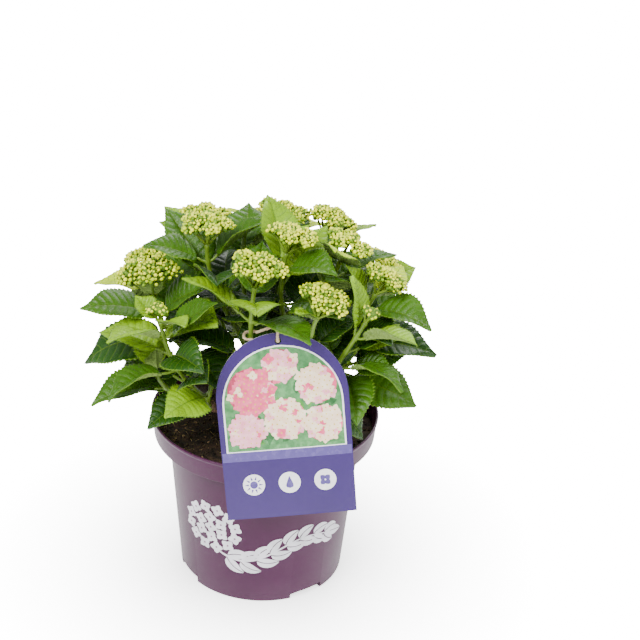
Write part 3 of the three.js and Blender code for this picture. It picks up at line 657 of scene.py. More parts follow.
class Shape:
    """Points and faces in millimetres, gathered with a material number each, and made one mesh."""

    def __init__(self):
        self.points, self.faces, self.marks, self.count = [], [], [], 0

    def add(self, points, *parts):
        """Adds points, and parts of a list of faces between them and their mark, or one for each."""
        points = np.asarray(points, float).reshape(-1, 3)
        self.points.append(points)
        for faces, mark in parts:
            self.faces.append(np.asarray(faces) + self.count)
            self.marks.append(np.broadcast_to(mark, len(faces)))
        self.count += len(points)

    def make(self, name, materials, sharp=None):
        mesh = bpy.data.meshes.new(name)
        points = np.concatenate(self.points) * MM
        corners = np.concatenate([f.ravel() for f in self.faces])
        sizes = np.concatenate([np.full(len(f), f.shape[1]) for f in self.faces])
        mesh.vertices.add(len(points))
        mesh.vertices.foreach_set("co", points.ravel())
        mesh.loops.add(len(corners))
        mesh.polygons.add(len(sizes))
        mesh.polygons.foreach_set("loop_start", np.cumsum(sizes) - sizes)
        mesh.polygons.foreach_set("vertices", corners)
        mesh.polygons.foreach_set("material_index", np.concatenate(self.marks))
        for material in materials:
            mesh.materials.append(material)
        mesh.update(calc_edges=True)
        mesh.shade_smooth()
        if sharp is not None:
            mesh.set_sharp_from_angle(angle=radians(sharp))
        piece = bpy.data.objects.new(name, mesh)
        bpy.context.scene.collection.objects.link(piece)
        return piece


def finish_piece(piece, slot, *nodes):
    """Seats a piece on the plant's body, in place of the solids that it stands for."""
    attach(piece, "root")
    if nodes:
        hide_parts(*nodes)


def grid_faces(rows, columns, closed=False):
    """The quads of a grid of points, row by row. A closed grid joins its last column to its first."""
    i, j = np.meshgrid(np.arange(rows - 1), np.arange(columns if closed else columns - 1), indexing="ij")
    i, j = i.ravel(), j.ravel()
    k = (j + 1) % columns
    here, after = i * columns, (i + 1) * columns
    return np.stack([here + j, here + k, after + k, after + j], 1)


def add_skin(shape, rings, ends, columns, mark):
    """A closed skin of rings of points, drawn together to a point at either end."""
    rings = np.asarray(rings, float).reshape(-1, 3)
    n = len(rings)
    k = np.arange(columns)
    start = np.stack([np.full(columns, n), (k + 1) % columns, k], 1)
    end = np.stack([np.full(columns, n + 1), n - columns + k, n - columns + (k + 1) % columns], 1)
    skin = grid_faces(n // columns, columns, closed=True)
    shape.add(np.concatenate([rings, ends]), (skin, mark), (np.concatenate([start, end]), mark))


def slab(shape, front, back, mark):
    """A closed plate between two grids of points, each row by row."""
    rows, columns = front.shape[:2]
    points = np.concatenate([front.reshape(-1, 3), back.reshape(-1, 3)])
    n = rows * columns
    top = grid_faces(rows, columns)
    rim = [i * columns for i in range(rows)]
    rim += [(rows - 1) * columns + j for j in range(1, columns)]
    rim += [i * columns + columns - 1 for i in range(rows - 2, -1, -1)]
    rim += list(range(columns - 2, 0, -1))
    a, b = np.array(rim), np.roll(rim, -1)
    walls = np.stack([a, a + n, b + n, b], 1)
    shape.add(points, (np.concatenate([top, top[:, ::-1] + n, walls[:, ::-1]]), mark))


def carried(side, along):
    """A side square to a line at each of its directions, turning as little as can be."""
    sides = []
    for direction in along:
        side = unit(side - direction * (side @ direction))
        sides.append(side)
    return np.array(sides)


def tube(shape, points, radii, sides, mark=0, relief=None):
    """A closed limb along a line. relief adds a height to each point of its surface."""
    points = np.asarray(points, float)
    along = units(np.gradient(points, axis=0))
    first = carried(UP if abs(along[0] @ UP) < 0.9 else np.array([1.0, 0, 0]), along)
    second = cross(along, first)
    angles = np.arange(sides) * 2 * pi / sides
    out = first[:, None] * np.cos(angles)[:, None] + second[:, None] * np.sin(angles)[:, None]
    radii = np.broadcast_to(np.asarray(radii, float).reshape(-1, 1), (len(points), sides)).copy()
    rings = points[:, None] + out * radii[..., None]
    if relief is not None:
        rings = rings + out * relief(rings)[..., None]
    add_skin(shape, rings, [points[0], points[-1]], sides, mark)


def lathe(shape, profile, columns, lift=None):
    """A solid of revolution from a profile that starts and ends on the axis. lift raises its points."""
    profile = np.asarray(profile, float)
    angles = np.arange(columns) * 2 * pi / columns
    ring = profile[1:-1]
    x, y = (np.multiply.outer(ring[:, 0], turn(angles)) for turn in (np.cos, np.sin))
    z = np.broadcast_to(ring[:, 1:], x.shape).copy()
    points = np.stack([x, y, z], -1)
    ends = np.array([[0, 0, profile[0, 1]], [0, 0, profile[-1, 1]]])
    if lift is not None:
        points[..., 2] += lift(points)
        ends[1, 2] += lift(ends[1:])[0]
    add_skin(shape, points, ends, columns, 0)


def rounded(profile, radius, steps=5):
    """A profile with each inner corner turned into a short arc."""
    points = [np.array(p, float) for p in profile]
    result = [points[0]]
    for before, corner, after in zip(points[:-2], points[1:-1], points[2:]):
        to_before, to_after = before - corner, after - corner
        reach = min(radius, *(0.45 * np.linalg.norm(side) for side in (to_before, to_after)))
        start, end = corner + unit(to_before) * reach, corner + unit(to_after) * reach
        for t in np.linspace(0, 1, steps):
            result.append(start * (1 - t) ** 2 + corner * 2 * t * (1 - t) + end * t * t)
    return result + [points[-1]]


def noise_at(points, scale, seed=0.0):
    """Smooth noise from -1 to 1 at each of many points, with features about 1 / scale mm across."""
    flat = points.reshape(-1, 3) * scale + seed
    return np.array([noise.noise(Vector(p)) for p in flat]).reshape(points.shape[:-1])


# Node groups, shared by the materials


def node(tree, kind, links=None, **settings):
    """A node with its settings, and its inputs given as values or as sockets to link from."""
    made = tree.nodes.new("ShaderNode" + kind)
    for name, value in settings.items():
        setattr(made, name, value)
    for name, value in (links or {}).items():
        socket = made.inputs[name]
        if isinstance(value, bpy.types.NodeSocket):
            tree.links.new(value, socket)
        else:
            socket.default_value = value
    return made


def reckon(tree, operation, first, second):
    return node(tree, "Math", {0: first, 1: second}, operation=operation).outputs[0]


def remap(tree, value, start, end, low=0.0, high=1.0):
    """Takes a value's range from start to end to the range from low to high."""
    limits = {"Value": value, "From Min": start, "From Max": end, "To Min": low, "To Max": high}
    return node(tree, "MapRange", limits).outputs["Result"]


def blend(tree, share, first, second):
    """The first colour, with the second over it by a share."""
    mix = node(tree, "Mix", {"Factor": share, 6: first, 7: second}, data_type="RGBA")
    return mix.outputs[2]


def object_place(tree):
    return node(tree, "TexCoord").outputs["Object"]


def noise_texture(tree, place, scale, detail):
    settings = {"Vector": place, "Scale": scale, "Detail": detail}
    return node(tree, "TexNoise", settings).outputs


def stretched(tree, place, scale):
    return node(tree, "Mapping", {"Vector": place, "Scale": scale}).outputs["Vector"]


def group_tree(name, inputs, outputs):
    """A group with its sockets. Inputs with a tuple as their default are colours, and so is Color."""
    tree = bpy.data.node_groups.new(name, "ShaderNodeTree")
    for title, default in inputs.items():
        kind = "NodeSocketColor" if isinstance(default, tuple) else "NodeSocketFloat"
        socket = tree.interface.new_socket(title, in_out="INPUT", socket_type=kind)
        socket.default_value = default
    for title in outputs:
        kind = "NodeSocketColor" if title == "Color" else "NodeSocketFloat"
        tree.interface.new_socket(title, in_out="OUTPUT", socket_type=kind)
    return tree, tree.nodes.new("NodeGroupInput").outputs, tree.nodes.new("NodeGroupOutput").inputs


@cache
def tone_group():
    """Two colours that drift into each other in soft patches, with fine grain over them."""
    inputs = {"Dark": (0, 0, 0, 1), "Light": (1, 1, 1, 1), "Patches": 60.0, "Grain": 900.0}
    tree, given, out = group_tree("Tone", inputs, ["Color", "Mask", "Grain Height"])
    place = object_place(tree)
    patches = noise_texture(tree, place, given["Patches"], 3.0)["Fac"]
    grain = noise_texture(tree, place, given["Grain"], 4.0)["Fac"]
    spread = remap(tree, patches, 0.32, 0.68)
    both = reckon(tree, "ADD", spread, reckon(tree, "MULTIPLY", grain, 0.35))
    mask = remap(tree, both, 0.15, 1.2)
    tree.links.new(blend(tree, mask, given["Dark"], given["Light"]), out["Color"])
    tree.links.new(mask, out["Mask"])
    tree.links.new(grain, out["Grain Height"])
    return tree


@cache
def net_group():
    """The net of small veins in a leaf: a height that dips along them, and a mask of the lines."""
    tree, given, out = group_tree("Vein Net", {"Cells": 420.0}, ["Height", "Lines"])
    place = object_place(tree)
    wander = noise_texture(tree, place, 700.0, 2.0)["Color"]
    shift = node(tree, "VectorMath", {0: wander, "Scale": 0.0012}, operation="SCALE")
    moved = node(tree, "VectorMath", {0: place, 1: shift.outputs["Vector"]}, operation="ADD")
    by = {"Vector": moved.outputs["Vector"], "Scale": given["Cells"]}
    cells = node(tree, "TexVoronoi", by, feature="DISTANCE_TO_EDGE")
    height = remap(tree, cells.outputs["Distance"], 0.0, 0.22)
    tree.links.new(height, out["Height"])
    tree.links.new(reckon(tree, "SUBTRACT", 1.0, height), out["Lines"])
    return tree


@cache
def speck_group():
    """Small scattered specks, as a mask."""
    tree, given, out = group_tree("Specks", {"Scale": 500.0, "Size": 0.22}, ["Mask"])
    place = object_place(tree)
    spots = node(tree, "TexVoronoi", {"Vector": place, "Scale": given["Scale"]})
    tree.links.new(remap(tree, spots.outputs["Distance"], given["Size"], 0.05), out["Mask"])
    return tree


@cache
def scuff_group():
    """Fine drag marks that run up and down, in scattered patches, as a mask."""
    tree, given, out = group_tree("Scuffs", {"Scale": 90.0, "Amount": 0.5}, ["Mask"])
    place = object_place(tree)
    drawn_out = stretched(tree, place, (9.0, 9.0, 1.0))
    marks = noise_texture(tree, drawn_out, given["Scale"], 5.0)["Fac"]
    patches = noise_texture(tree, place, 23.0, 2.0)["Fac"]
    fine = remap(tree, marks, 0.58, 0.74)
    where = remap(tree, patches, 0.56, 0.7)
    both = reckon(tree, "MULTIPLY", fine, where)
    tree.links.new(reckon(tree, "MULTIPLY", both, given["Amount"]), out["Mask"])
    return tree


def group_node(tree, group, **values):
    """Places a shared group in a material, with the material's own values."""
    return node(tree, "Group", values, node_tree=group()).outputs


# Materials


def colour(rgb):
    return (*rgb, 1.0)


def scaled(rgb, share):
    return [min(1, share * c) for c in rgb]


def begin(name, dark, light, patches, grain, specular):
    """A new material, with two drifting tones ready for its colour. Patches and grain are per metre."""
    material = bpy.data.materials.new(name)
    material.use_nodes = True
    tree = material.node_tree
    shader = tree.nodes["Principled BSDF"]
    shader.inputs["Specular IOR Level"].default_value = specular
    tone = group_node(tree, tone_group, Dark=colour(dark), Light=colour(light), Patches=patches, Grain=grain)
    return material, tree, shader, tone


COAT_ROUGHNESS = 0.2


def coat(shader, weight):
    shader.inputs["Coat Weight"].default_value = weight
    shader.inputs["Coat Roughness"].default_value = COAT_ROUGHNESS


def colour_from(tree, shader, tint):
    tree.links.new(tint, shader.inputs["Base Color"])


def roughness_from(tree, shader, mask, smooth, rough):
    tree.links.new(remap(tree, mask, 0.0, 1.0, smooth, rough), shader.inputs["Roughness"])


def bump_from(tree, shader, height, strength, distance):
    bump = node(tree, "Bump", {"Height": height, "Strength": strength, "Distance": distance})
    tree.links.new(bump.outputs["Normal"], shader.inputs["Normal"])


def toned(name, dark, light, patches, grain, gloss, bump, coating=0.0, specular=0.3):
    """A material of two drifting tones with a fine grained surface."""
    material, tree, shader, tone = begin(name, dark, light, patches, grain, specular)
    colour_from(tree, shader, tone["Color"])
    roughness_from(tree, shader, tone["Mask"], *gloss)
    bump_from(tree, shader, tone["Grain Height"], *bump)
    coat(shader, coating)
    return material


# The plain materials: dark and light tone, patches and grain per metre, roughness from and to, the
# strength and depth of a bump, the coat and the specular level.
PLAIN = dict(
    # The dark inner buds are painted shade between a head's outer buds.
    buds_inner_shade=((0.04, 0.10, 0.003), (0.10, 0.20, 0.005), 240.0, 1400.0, (0.5, 0.6), (0.25, 0.0002)),
    pot_print_heart=((0.17, 0.06, 0.14), (0.24, 0.10, 0.2), 60.0, 1500.0, (0.4, 0.5), (0.1, 0.0001)),
    peat=((0.008, 0.005, 0.003), (0.055, 0.030, 0.017), 130.0, 800.0, (0.8, 0.95), (1.0, 0.001)),
    peat_fibre=((0.10, 0.06, 0.03), (0.26, 0.17, 0.09), 300.0, 1500.0, (0.8, 0.9), (0.6, 0.0004)),
    card_violet=((0.033, 0.0145, 0.108), (0.041, 0.019, 0.13), 14.0, 2200.0, (0.2, 0.3), (0.1, 1e-4), 0.35),
    card_white=((0.62, 0.62, 0.60), (0.78, 0.78, 0.76), 20.0, 2200.0, (0.5, 0.6), (0.15, 0.0001)),
    tie_paper=((0.42, 0.30, 0.17), (0.68, 0.54, 0.36), 260.0, 1800.0, (0.7, 0.85), (0.6, 0.0003), 0.0, 0.5),
)


def plain(name):
    return toned(name, *PLAIN[name])


# A leaf's net of small veins: its colour next to the leaf's own, and how deep it lies.
VEIN_NET = dict(brighter=1.6, paler=0.006, cells=420.0, strength=0.55, depth=0.00022)


def leaf_material(name, dark, light, line_share, gloss):
    """A leaf's skin: drifting greens, paler along the net of small veins, which dips or stands out."""
    material, tree, shader, tone = begin(name, dark, light, 55.0, 1500.0, 0.24)
    net = group_node(tree, net_group, Cells=VEIN_NET["cells"])
    share = reckon(tree, "MULTIPLY", net["Lines"], line_share)
    pale = colour([min(1, VEIN_NET["brighter"] * c + VEIN_NET["paler"]) for c in light])
    colour_from(tree, shader, blend(tree, share, tone["Color"], pale))
    roughness_from(tree, shader, tone["Mask"], *gloss)
    bump_from(tree, shader, net["Height"], VEIN_NET["strength"], VEIN_NET["depth"])
    return material


# Dust on the pot: its colour, the height that it reaches, and how thick it lies at the foot.
DUST = dict(colour=(0.22, 0.15, 0.19), reach=0.03, most=0.12)


def pot_material(settings):
    """Satin plastic with fine drag marks, and dust that thickens towards the foot."""
    dark, light = settings.plastic_dark, settings.plastic_light
    material, tree, shader, tone = begin("pot_plastic", dark, light, 9.0, 2600.0, 0.24)
    scuffs = group_node(tree, scuff_group, Scale=70.0, Amount=0.1)["Mask"]
    height = node(tree, "SeparateXYZ", {"Vector": object_place(tree)}).outputs["Z"]
    low = remap(tree, height, DUST["reach"], 0.0, 0.0, DUST["most"])
    worn = reckon(tree, "ADD", scuffs, reckon(tree, "MULTIPLY", low, tone["Mask"]))
    colour_from(tree, shader, blend(tree, worn, tone["Color"], colour(DUST["colour"])))
    roughness_from(tree, shader, worn, 0.36, 0.75)
    bump_from(tree, shader, tone["Grain Height"], 0.22, 0.00012)
    coat(shader, 0.06)
    return material


# Specks on green stems: their colour, how closely they stand, their size and how strong they show.
STEM_SPECKS = dict(colour=(0.09, 0.05, 0.025), scale=520.0, size=0.24, share=0.7)


def stem_material(settings):
    """Smooth green bark with small dark specks."""
    dark = scaled(settings.stem, 0.75)
    material, tree, shader, tone = begin("young_stem", dark, settings.stem, 70.0, 1200.0, 0.5)
    specks = group_node(tree, speck_group, Scale=STEM_SPECKS["scale"], Size=STEM_SPECKS["size"])
    share = reckon(tree, "MULTIPLY", specks["Mask"], STEM_SPECKS["share"])
    colour_from(tree, shader, blend(tree, share, tone["Color"], colour(STEM_SPECKS["colour"])))
    roughness_from(tree, shader, tone["Mask"], 0.42, 0.58)
    bump_from(tree, shader, tone["Grain Height"], 0.3, 0.0002)
    return material


# Bark: its dark and light tones, and the tan of its flakes, which are drawn out along the cane.
BARK = dict(dark=(0.10, 0.045, 0.025), light=(0.36, 0.21, 0.12), flake=(0.46, 0.33, 0.22))
BARK_STREAKS = (700.0, 700.0, 90.0)


def bark_material():
    """Thin red-brown bark that flakes to pale tan along its length."""
    material, tree, shader, tone = begin("bark", BARK["dark"], BARK["light"], 140.0, 900.0, 0.5)
    drawn_out = stretched(tree, object_place(tree), BARK_STREAKS)
    streaks = noise_texture(tree, drawn_out, 5.0, 5.0)["Fac"]
    share = remap(tree, streaks, 0.5, 0.72)
    colour_from(tree, shader, blend(tree, share, tone["Color"], colour(BARK["flake"])))
    roughness_from(tree, shader, tone["Mask"], 0.7, 0.9)
    bump_from(tree, shader, streaks, 0.7, 0.0006)
    return material


# The leaves

# Where side veins leave the midrib, closer together towards the petiole, in shares of a blade.
VEIN_PAIRS = 8
VEINS = dict(first=0.05, reach=0.84, crowding=1.05)
# They sweep forward on their way to the margin, more so towards the tip.
SWEEP = dict(least=0.05, more=0.5, curve=1.6)
# Half a side vein's width, and the place where the last space between veins ends.
VEIN_STRIP = 0.004
LAST_SPACE_END = 0.93
# A space between two veins, as rows: place in it, swell and tooth.
SPACE = ((0.25, 0.7, 0.0), (0.5, 1.0, 0.85), (0.75, 0.7, 0.0))
# How far a blade's skin has swelled at a vein's edge, where 1 is the middle of the space between two.
VEIN_EDGE = 0.12
# A blade narrows to a drawn-out point: from where, and by what share.
POINT = dict(start=0.62, share=0.42)
# The columns of a blade, from margin to margin, in shares of its half width.
COLUMNS = np.array([-1, -0.955, -0.84, -0.62, -0.4, -0.2, -0.028, 0, 0.028, 0.2, 0.4, 0.62, 0.84, 0.955, 1])
# Across a blade, the midrib reaches out to the first of these, side veins end at the second, and the
# margin starts at the third.
MIDRIB_END, VEIN_ENDS, MARGIN_START = 0.05, 0.86, 0.96
# A tooth moves its part of the edge outward and forward. No row goes past the last place before the tip.
TOOTH = dict(start=0.84, width=0.16, forward=0.012)
LAST_PLACE = 0.985
# A blade waves along its edge and droops towards it.
WAVE = dict(height=1.1, count=9, stray=5, lag=2.1)
DROOP = (0.05, 0.1)
# The midrib lies in a furrow above and is a rib below, both fading to the tip. Side veins have ribs too.
MIDRIB = dict(furrow=0.7, furrow_width=0.07, rib=1.1, rib_width=0.05, side_rib=0.3)
LEAF_PIECES = 4
# A leaf's tint goes by its row down the shoot, and by chance.
TINT_BY = dict(row=0.85, chance=1.7)
# Materials of a leaf piece: four skins of the upper side, then its veins, margin and underside.
TINTS = 4
VEIN, DEEP_VEIN, MARGIN, UNDER, UNDER_VEIN = range(TINTS, TINTS + 5)


def leaf_rows():
    """Rows of a blade from petiole to tip: place, swell, tooth, and whether a vein follows."""
    rows = [(0.0, 0.0, 0.4, False), (0.035, 0.6, 0.4, False)]
    shares = [((k + 0.5) / VEIN_PAIRS) ** VEINS["crowding"] for k in range(VEIN_PAIRS)]
    veins = [VEINS["first"] + VEINS["reach"] * share for share in shares]
    for vein, following in zip(veins, veins[1:] + [LAST_SPACE_END]):
        start, end = vein + VEIN_STRIP, following - VEIN_STRIP
        rows.append((vein - VEIN_STRIP, VEIN_EDGE, 0.6, True))
        rows.append((vein, 0.0, 1.0, True))
        rows.append((start, VEIN_EDGE, 0.6, False))
        for share, swell, tooth in SPACE:
            rows.append((start + (end - start) * share, swell, tooth, False))
    return rows + [(0.945, 0.5, 0.5, False), (0.975, 0.2, 0.2, False)]


def leaf_template():
    """What all blades share: a grid of places with its swell, teeth and materials."""
    rows = leaf_rows()
    t, u = np.meshgrid([r[0] for r in rows], COLUMNS, indexing="ij")
    swell, tooth = (np.array([r[k] for r in rows])[:, None] for k in (1, 2))
    place = t + (1 - t) * (SWEEP["least"] + SWEEP["more"] * t) * np.abs(u) ** SWEEP["curve"]
    middle = (np.abs(COLUMNS[:-1]) + np.abs(COLUMNS[1:])) / 2
    marks = np.array([np.where((middle < VEIN_ENDS) & row[3], 1, 0) for row in rows[:-1]])
    marks[:, middle < MIDRIB_END] = 1
    marks[:, middle > MARGIN_START] = 2
    return dict(place=place, u=u, swell=swell, tooth=tooth, marks=marks)


def blade(shape, leaf, tint, draw, template, settings):
    """One leaf: a thin closed shell, puckered between its veins, with a toothed and wavy edge."""
    u, edge = template["u"], np.abs(template["u"])
    quilting, teeth = settings.quilting / MM, settings.tooth_depth / MM
    thick = settings.leaf_thickness / MM
    at_edge = np.clip((edge - TOOTH["start"]) / TOOTH["width"], 0, 1)
    shift = teeth / leaf["half_width"] * (template["tooth"] - 0.5) * at_edge
    place = np.clip(template["place"] + TOOTH["forward"] * template["tooth"] * at_edge, 0, LAST_PLACE)
    swell = template["swell"] * np.sin(pi * np.clip(edge, 0, 1)) ** 0.7
    phase = draw() * 2 * pi
    count = WAVE["count"] + WAVE["stray"] * draw()
    waves = np.sin(place * count + phase + np.where(u < 0, WAVE["lag"], 0)) * edge**3
    furrow = hump(edge, MIDRIB["furrow_width"]) * (1 - place)
    droop = edge**2.5 * leaf["half_width"] * stray(DROOP, draw())
    puckers = quilting * swell * (1 - 0.5 * place)
    lift = puckers - MIDRIB["furrow"] * furrow + WAVE["height"] * waves - droop
    point = 1 - POINT["share"] * np.clip((place - POINT["start"]) / (1 - POINT["start"]), 0, 1) ** 1.5
    across = u * point * (1 + shift * np.sign(edge))
    top = leaf_points(leaf, place, across, lift)
    vein_row = 1 - np.clip(template["swell"] / VEIN_EDGE, 0, 1)
    rib = MIDRIB["side_rib"] * vein_row * (edge < VEIN_ENDS)
    rib = rib + MIDRIB["rib"] * hump(edge, MIDRIB["rib_width"]) * (1 - place)
    bottom = leaf_points(leaf, place, across, lift - thick - rib)
    tip = leaf_points(leaf, np.array([1.0]), np.array([0.0]), np.array([-thick / 2]))
    rows, columns = u.shape
    n = rows * columns
    upper = grid_faces(rows, columns)
    kinds = template["marks"].ravel()
    upper_marks = np.choose(kinds, [tint, VEIN if tint < 2 else DEEP_VEIN, MARGIN])
    under_marks = np.choose(kinds, [UNDER, UNDER_VEIN, UNDER])
    rim = [i * columns for i in range(rows - 1, -1, -1)] + list(range(1, columns))
    rim += [i * columns + columns - 1 for i in range(1, rows)]
    a, b = np.array(rim[:-1]), np.array(rim[1:])
    walls = np.stack([b, a, a + n, b + n], 1)
    last = (rows - 1) * columns + np.arange(columns)
    fan = np.stack([last[:-1], last[1:], np.full(columns - 1, 2 * n)], 1)
    sides = [(last[0] + n, last[0], 2 * n), (last[-1], last[-1] + n, 2 * n)]
    shape.add(
        np.concatenate([top.reshape(-1, 3), bottom.reshape(-1, 3), tip]),
        (upper, upper_marks),
        (upper[:, ::-1] + n, under_marks),
        (walls, MARGIN),
        (fan, tint),
        (fan[:, [1, 0, 2]] + [n, n, 0], UNDER),
        (sides, MARGIN),
    )


# How dark the darker tone of a green skin is, and how dark the veins of deep leaves are.
DEEPER = 0.62


def leaf_skins(settings):
    """The materials of a leaf piece, in the order of its numbers."""
    vein, under = settings.vein, settings.underside
    deep_vein = scaled(vein, DEEPER)
    skins = []
    for name in ("leaf_young", "leaf_light", "leaf_mid", "leaf_deep"):
        green = getattr(settings, name)
        skins.append(leaf_material(name, scaled(green, DEEPER), green, 0.3, (0.26, 0.4)))
    return skins + [
        leaf_material("leaf_vein", scaled(vein, 0.8), vein, 0.1, (0.35, 0.5)),
        leaf_material("leaf_deep_vein", scaled(deep_vein, 0.7), deep_vein, 0.1, (0.3, 0.44)),
        leaf_material("leaf_margin", scaled(vein, 0.85), vein, 0.1, (0.35, 0.5)),
        leaf_material("leaf_underside", scaled(under, 0.8), under, 0.4, (0.5, 0.65)),
        leaf_material("leaf_under_vein", under, scaled(under, 1.25), 0.1, (0.5, 0.6)),
    ]


def in_pieces(shoots, count):
    """The shoots in their order, shared out among numbered pieces."""
    for number, group in enumerate(np.array_split(np.arange(len(shoots)), count)):
        yield number + 1, [shoots[k] for k in group]


def make_leaves(settings):
    """The leaves, as four pieces. Lower leaves on a shoot are deeper green."""
    _, shoots = plant()
    skins = leaf_skins(settings)
    template = leaf_template()
    for number, group in in_pieces(shoots, LEAF_PIECES):
        shape = Shape()
        for shoot in group:
            draw = random_by(shoot["seed"] * SEEDS["leaves"])
            for leaf in shoot["leaves"]:
                tint = min(int(leaf["row"] * TINT_BY["row"] + draw() * TINT_BY["chance"]), TINTS - 1)
                blade(shape, leaf, tint, draw, template, settings)
        piece = shape.make(f"leaves_{number}", skins)
        finish_piece(piece, "foliage", *(shoot["name"] for shoot in group))


# The stems

# Points along a shoot, a petiole and a cane, and round each.
STEM_GRID = (44, 12)
PETIOLE_GRID = (9, 8)
CANE_GRID = (84, 28)
# The swelling of a green shoot where a pair of leaves grows: its height, and its reach along the shoot.
NODE = dict(height=0.75, reach=2.6)
# A petiole: its radii, how far it sags, and how far it goes on under the blade, in shares of its length.
PETIOLE = dict(radius=1.35, foot=0.75, foot_reach=0.16, taper=0.35, tip=0.5, sag=0.9, sunk=1.12)
# Rings round a cane where leaves once grew: their height, reach and spacing, and where they end.
CANE_RING = dict(height=0.7, reach=1.6, spacing=22, last=0.85)
# How far a cane's foot and knuckle reach along it, and how deep its foot is sunk in the mix.
CANE_REACH = dict(flare=4, knuckle=7, sunk=3)
# Bark stands out in furrows that run along the cane, with finer lumps over them.
BARK_RELIEF = dict(stretch=(1, 1, 0.22), furrows=(0.55, 0.55), lumps=(0.2, 0.9))


def make_stems(settings):
    """Green shoots with swollen nodes, and a petiole to each leaf."""
    _, shoots = plant()
    shape = Shape()
    for shoot in shoots:
        line = shoot["line"]
        lengths = np.linspace(0, line.total, STEM_GRID[0])
        points = [line.at(length)[0] for length in lengths]
        share = lengths / line.total
        radii = tapered(SHOOT, share)
        for pair in PAIRS:
            radii += NODE["height"] * hump(lengths - (line.total - pair["drop"]), NODE["reach"])
        tube(shape, smooth_line(np.array(points)), radii, STEM_GRID[1])
        for leaf in shoot["leaves"]:
            reach = leaf["petiole_end"] - leaf["root"]
            t = np.linspace(0, PETIOLE["sunk"], PETIOLE_GRID[0])
            sag = -leaf["face"] * PETIOLE["sag"] * np.sin(pi * np.clip(t, 0, 1))[:, None]
            path = leaf["root"] + reach * t[:, None] + sag
            widths = PETIOLE["radius"] + PETIOLE["foot"] * hump(t, PETIOLE["foot_reach"])
            widths -= PETIOLE["taper"] * np.clip(t - 0.85, 0, 1)
            widths[-1] = PETIOLE["tip"]
            tube(shape, path, widths, PETIOLE_GRID[1])
    piece = shape.make("green_stems", [stem_material(settings)])
    finish_piece(piece, "young_stem", *(shoot["name"] for shoot in shoots))


def smooth_line(points, rounds=2):
    """Eases the corners of a line, with its ends kept."""
    for _ in range(rounds):
        points = points.copy()
        points[1:-1] = (points[:-2] + 2 * points[1:-1] + points[2:]) / 4
    return points


# The woody canes


def make_canes():
    """Canes with a flared foot, ringed nodes, a knuckle at the fork and furrowed bark."""
    canes, _ = plant()
    shape = Shape()
    for number, line in enumerate(canes.values()):
        lengths = np.linspace(0, line.total, CANE_GRID[0])
        share = lengths / line.total
        points = smooth_line(np.array([line.at(length)[0] for length in lengths]))
        radii = tapered(CANE, share)
        radii *= 1 + (CANE["flare"] - 1) * np.exp(-lengths / CANE_REACH["flare"])
        radii += (CANE["knuckle_radius"] - radii) * hump(line.total - lengths, CANE_REACH["knuckle"])
        from_ring = lengths % CANE_RING["spacing"] - CANE_RING["spacing"] / 2
        radii += CANE_RING["height"] * hump(from_ring, CANE_RING["reach"]) * (share < CANE_RING["last"])
        points = np.concatenate([[points[0] - UP * CANE_REACH["sunk"]], points])
        radii = np.concatenate([radii[:1] * 1.05, radii])

        def bark(rings, seed=number * 17.0):
            (furrow, furrow_scale), (lump, lump_scale) = BARK_RELIEF["furrows"], BARK_RELIEF["lumps"]
            furrows = furrow * noise_at(rings * BARK_RELIEF["stretch"], furrow_scale, seed)
            return furrows + lump * noise_at(rings, lump_scale, seed)

        tube(shape, points, radii, CANE_GRID[1], relief=bark)
    finish_piece(shape.make("woody_canes", [bark_material()]), "bark", *(f"cane_{name}" for name in canes))


# The flower heads

BUD_PIECES = 2
BUD_SIDES = 8
# The buds of a lobe form a flattened dome, each a little higher or lower, with room between them.
BUD_DOME = dict(flat=0.4, lift=(0.86, 0.32), room=1.6, lowest=96)
# Small dark buds fill a lobe's inside as painted shade in the gaps between the outer buds.
INNER_SHADE_BUDS = dict(count=15, lowest=115, sunk=0.3, share=0.64, size=1.5)
# A bud's outline from its stalk to its tip: height and radius, in shares of its own radius.
BUD_PROFILE = [(-0.95, 0.32), (-0.5, 0.84), (0.05, 1.0), (0.6, 0.74), (0.95, 0.3)]
BUD_TIP = 1.14
# How far a bud strays from the usual size: the least, and the range above it.
BUD_SIZE = (0.66, 0.5)
# The kinds of buds on a dome: dark tone, roughness and coat. Their light tones are settings.
BUD_KINDS = (
    ("bud_cream", (0.60, 0.67, 0.008), (0.34, 0.46), 0.15),
    ("bud_yellow", (0.36, 0.49, 0.006), (0.34, 0.46), 0.1),
    ("bud_green", (0.11, 0.22, 0.005), (0.4, 0.52), 0.0),
)
INNER_SHADE_KIND = len(BUD_KINDS)
BUD_SURFACE = dict(patches=240.0, grain=1400.0, bump=(0.25, 0.0002))
# How often a bud is cream, more so on top of a dome as a painted highlight where light falls, and how often
# one of the rest is yellow.
BUD_CHANCE = dict(cream=0.12, cream_highlight=0.55, yellow=0.72)
# The thick green rays bow out on their way to the heart of each lobe, where thin stalks start.
RAY_RADII = [1.7, 1.35, 1.1, 1.0]
RAY = dict(bow=0.45, sag=-0.12, foot=2, sides=8)
STALK_RADII = [0.5, 0.34]
STALK = dict(start=0.15, end=0.8, sides=5)
# A lobe's heart lies below its centre, it leans outward, and its buds point a little along its lean.
LOBE = dict(heart=0.55, lean=0.018, upright=0.25)


def bud(shape, centre, axis, radius, mark):
    """A closed bud that points along its axis."""
    square = square_to(axis) if abs(axis[0]) < 0.98 else (UP, cross(axis, UP))
    rings = []
    for height, width in BUD_PROFILE:
        for k in range(BUD_SIDES):
            out = turned_by(square, 360 * k / BUD_SIDES) * radius * width
            rings.append(centre + axis * radius * height + out)
    ends = [centre - axis * radius, centre + axis * radius * BUD_TIP]
    add_skin(shape, rings, ends, BUD_SIDES, mark)


def dome_directions(count, lowest, draw):
    """Directions spread evenly over a dome round +Z, down to a lowest angle."""
    turn = draw() * 360
    for k in range(count):
        height = 1 - (1 - cos(radians(lowest))) * (k + 0.5) / count
        around = radians(turn + GOLDEN_ANGLE * k)
        flat = sqrt(max(1 - height * height, 0))
        yield flat * cos(around), flat * sin(around), height


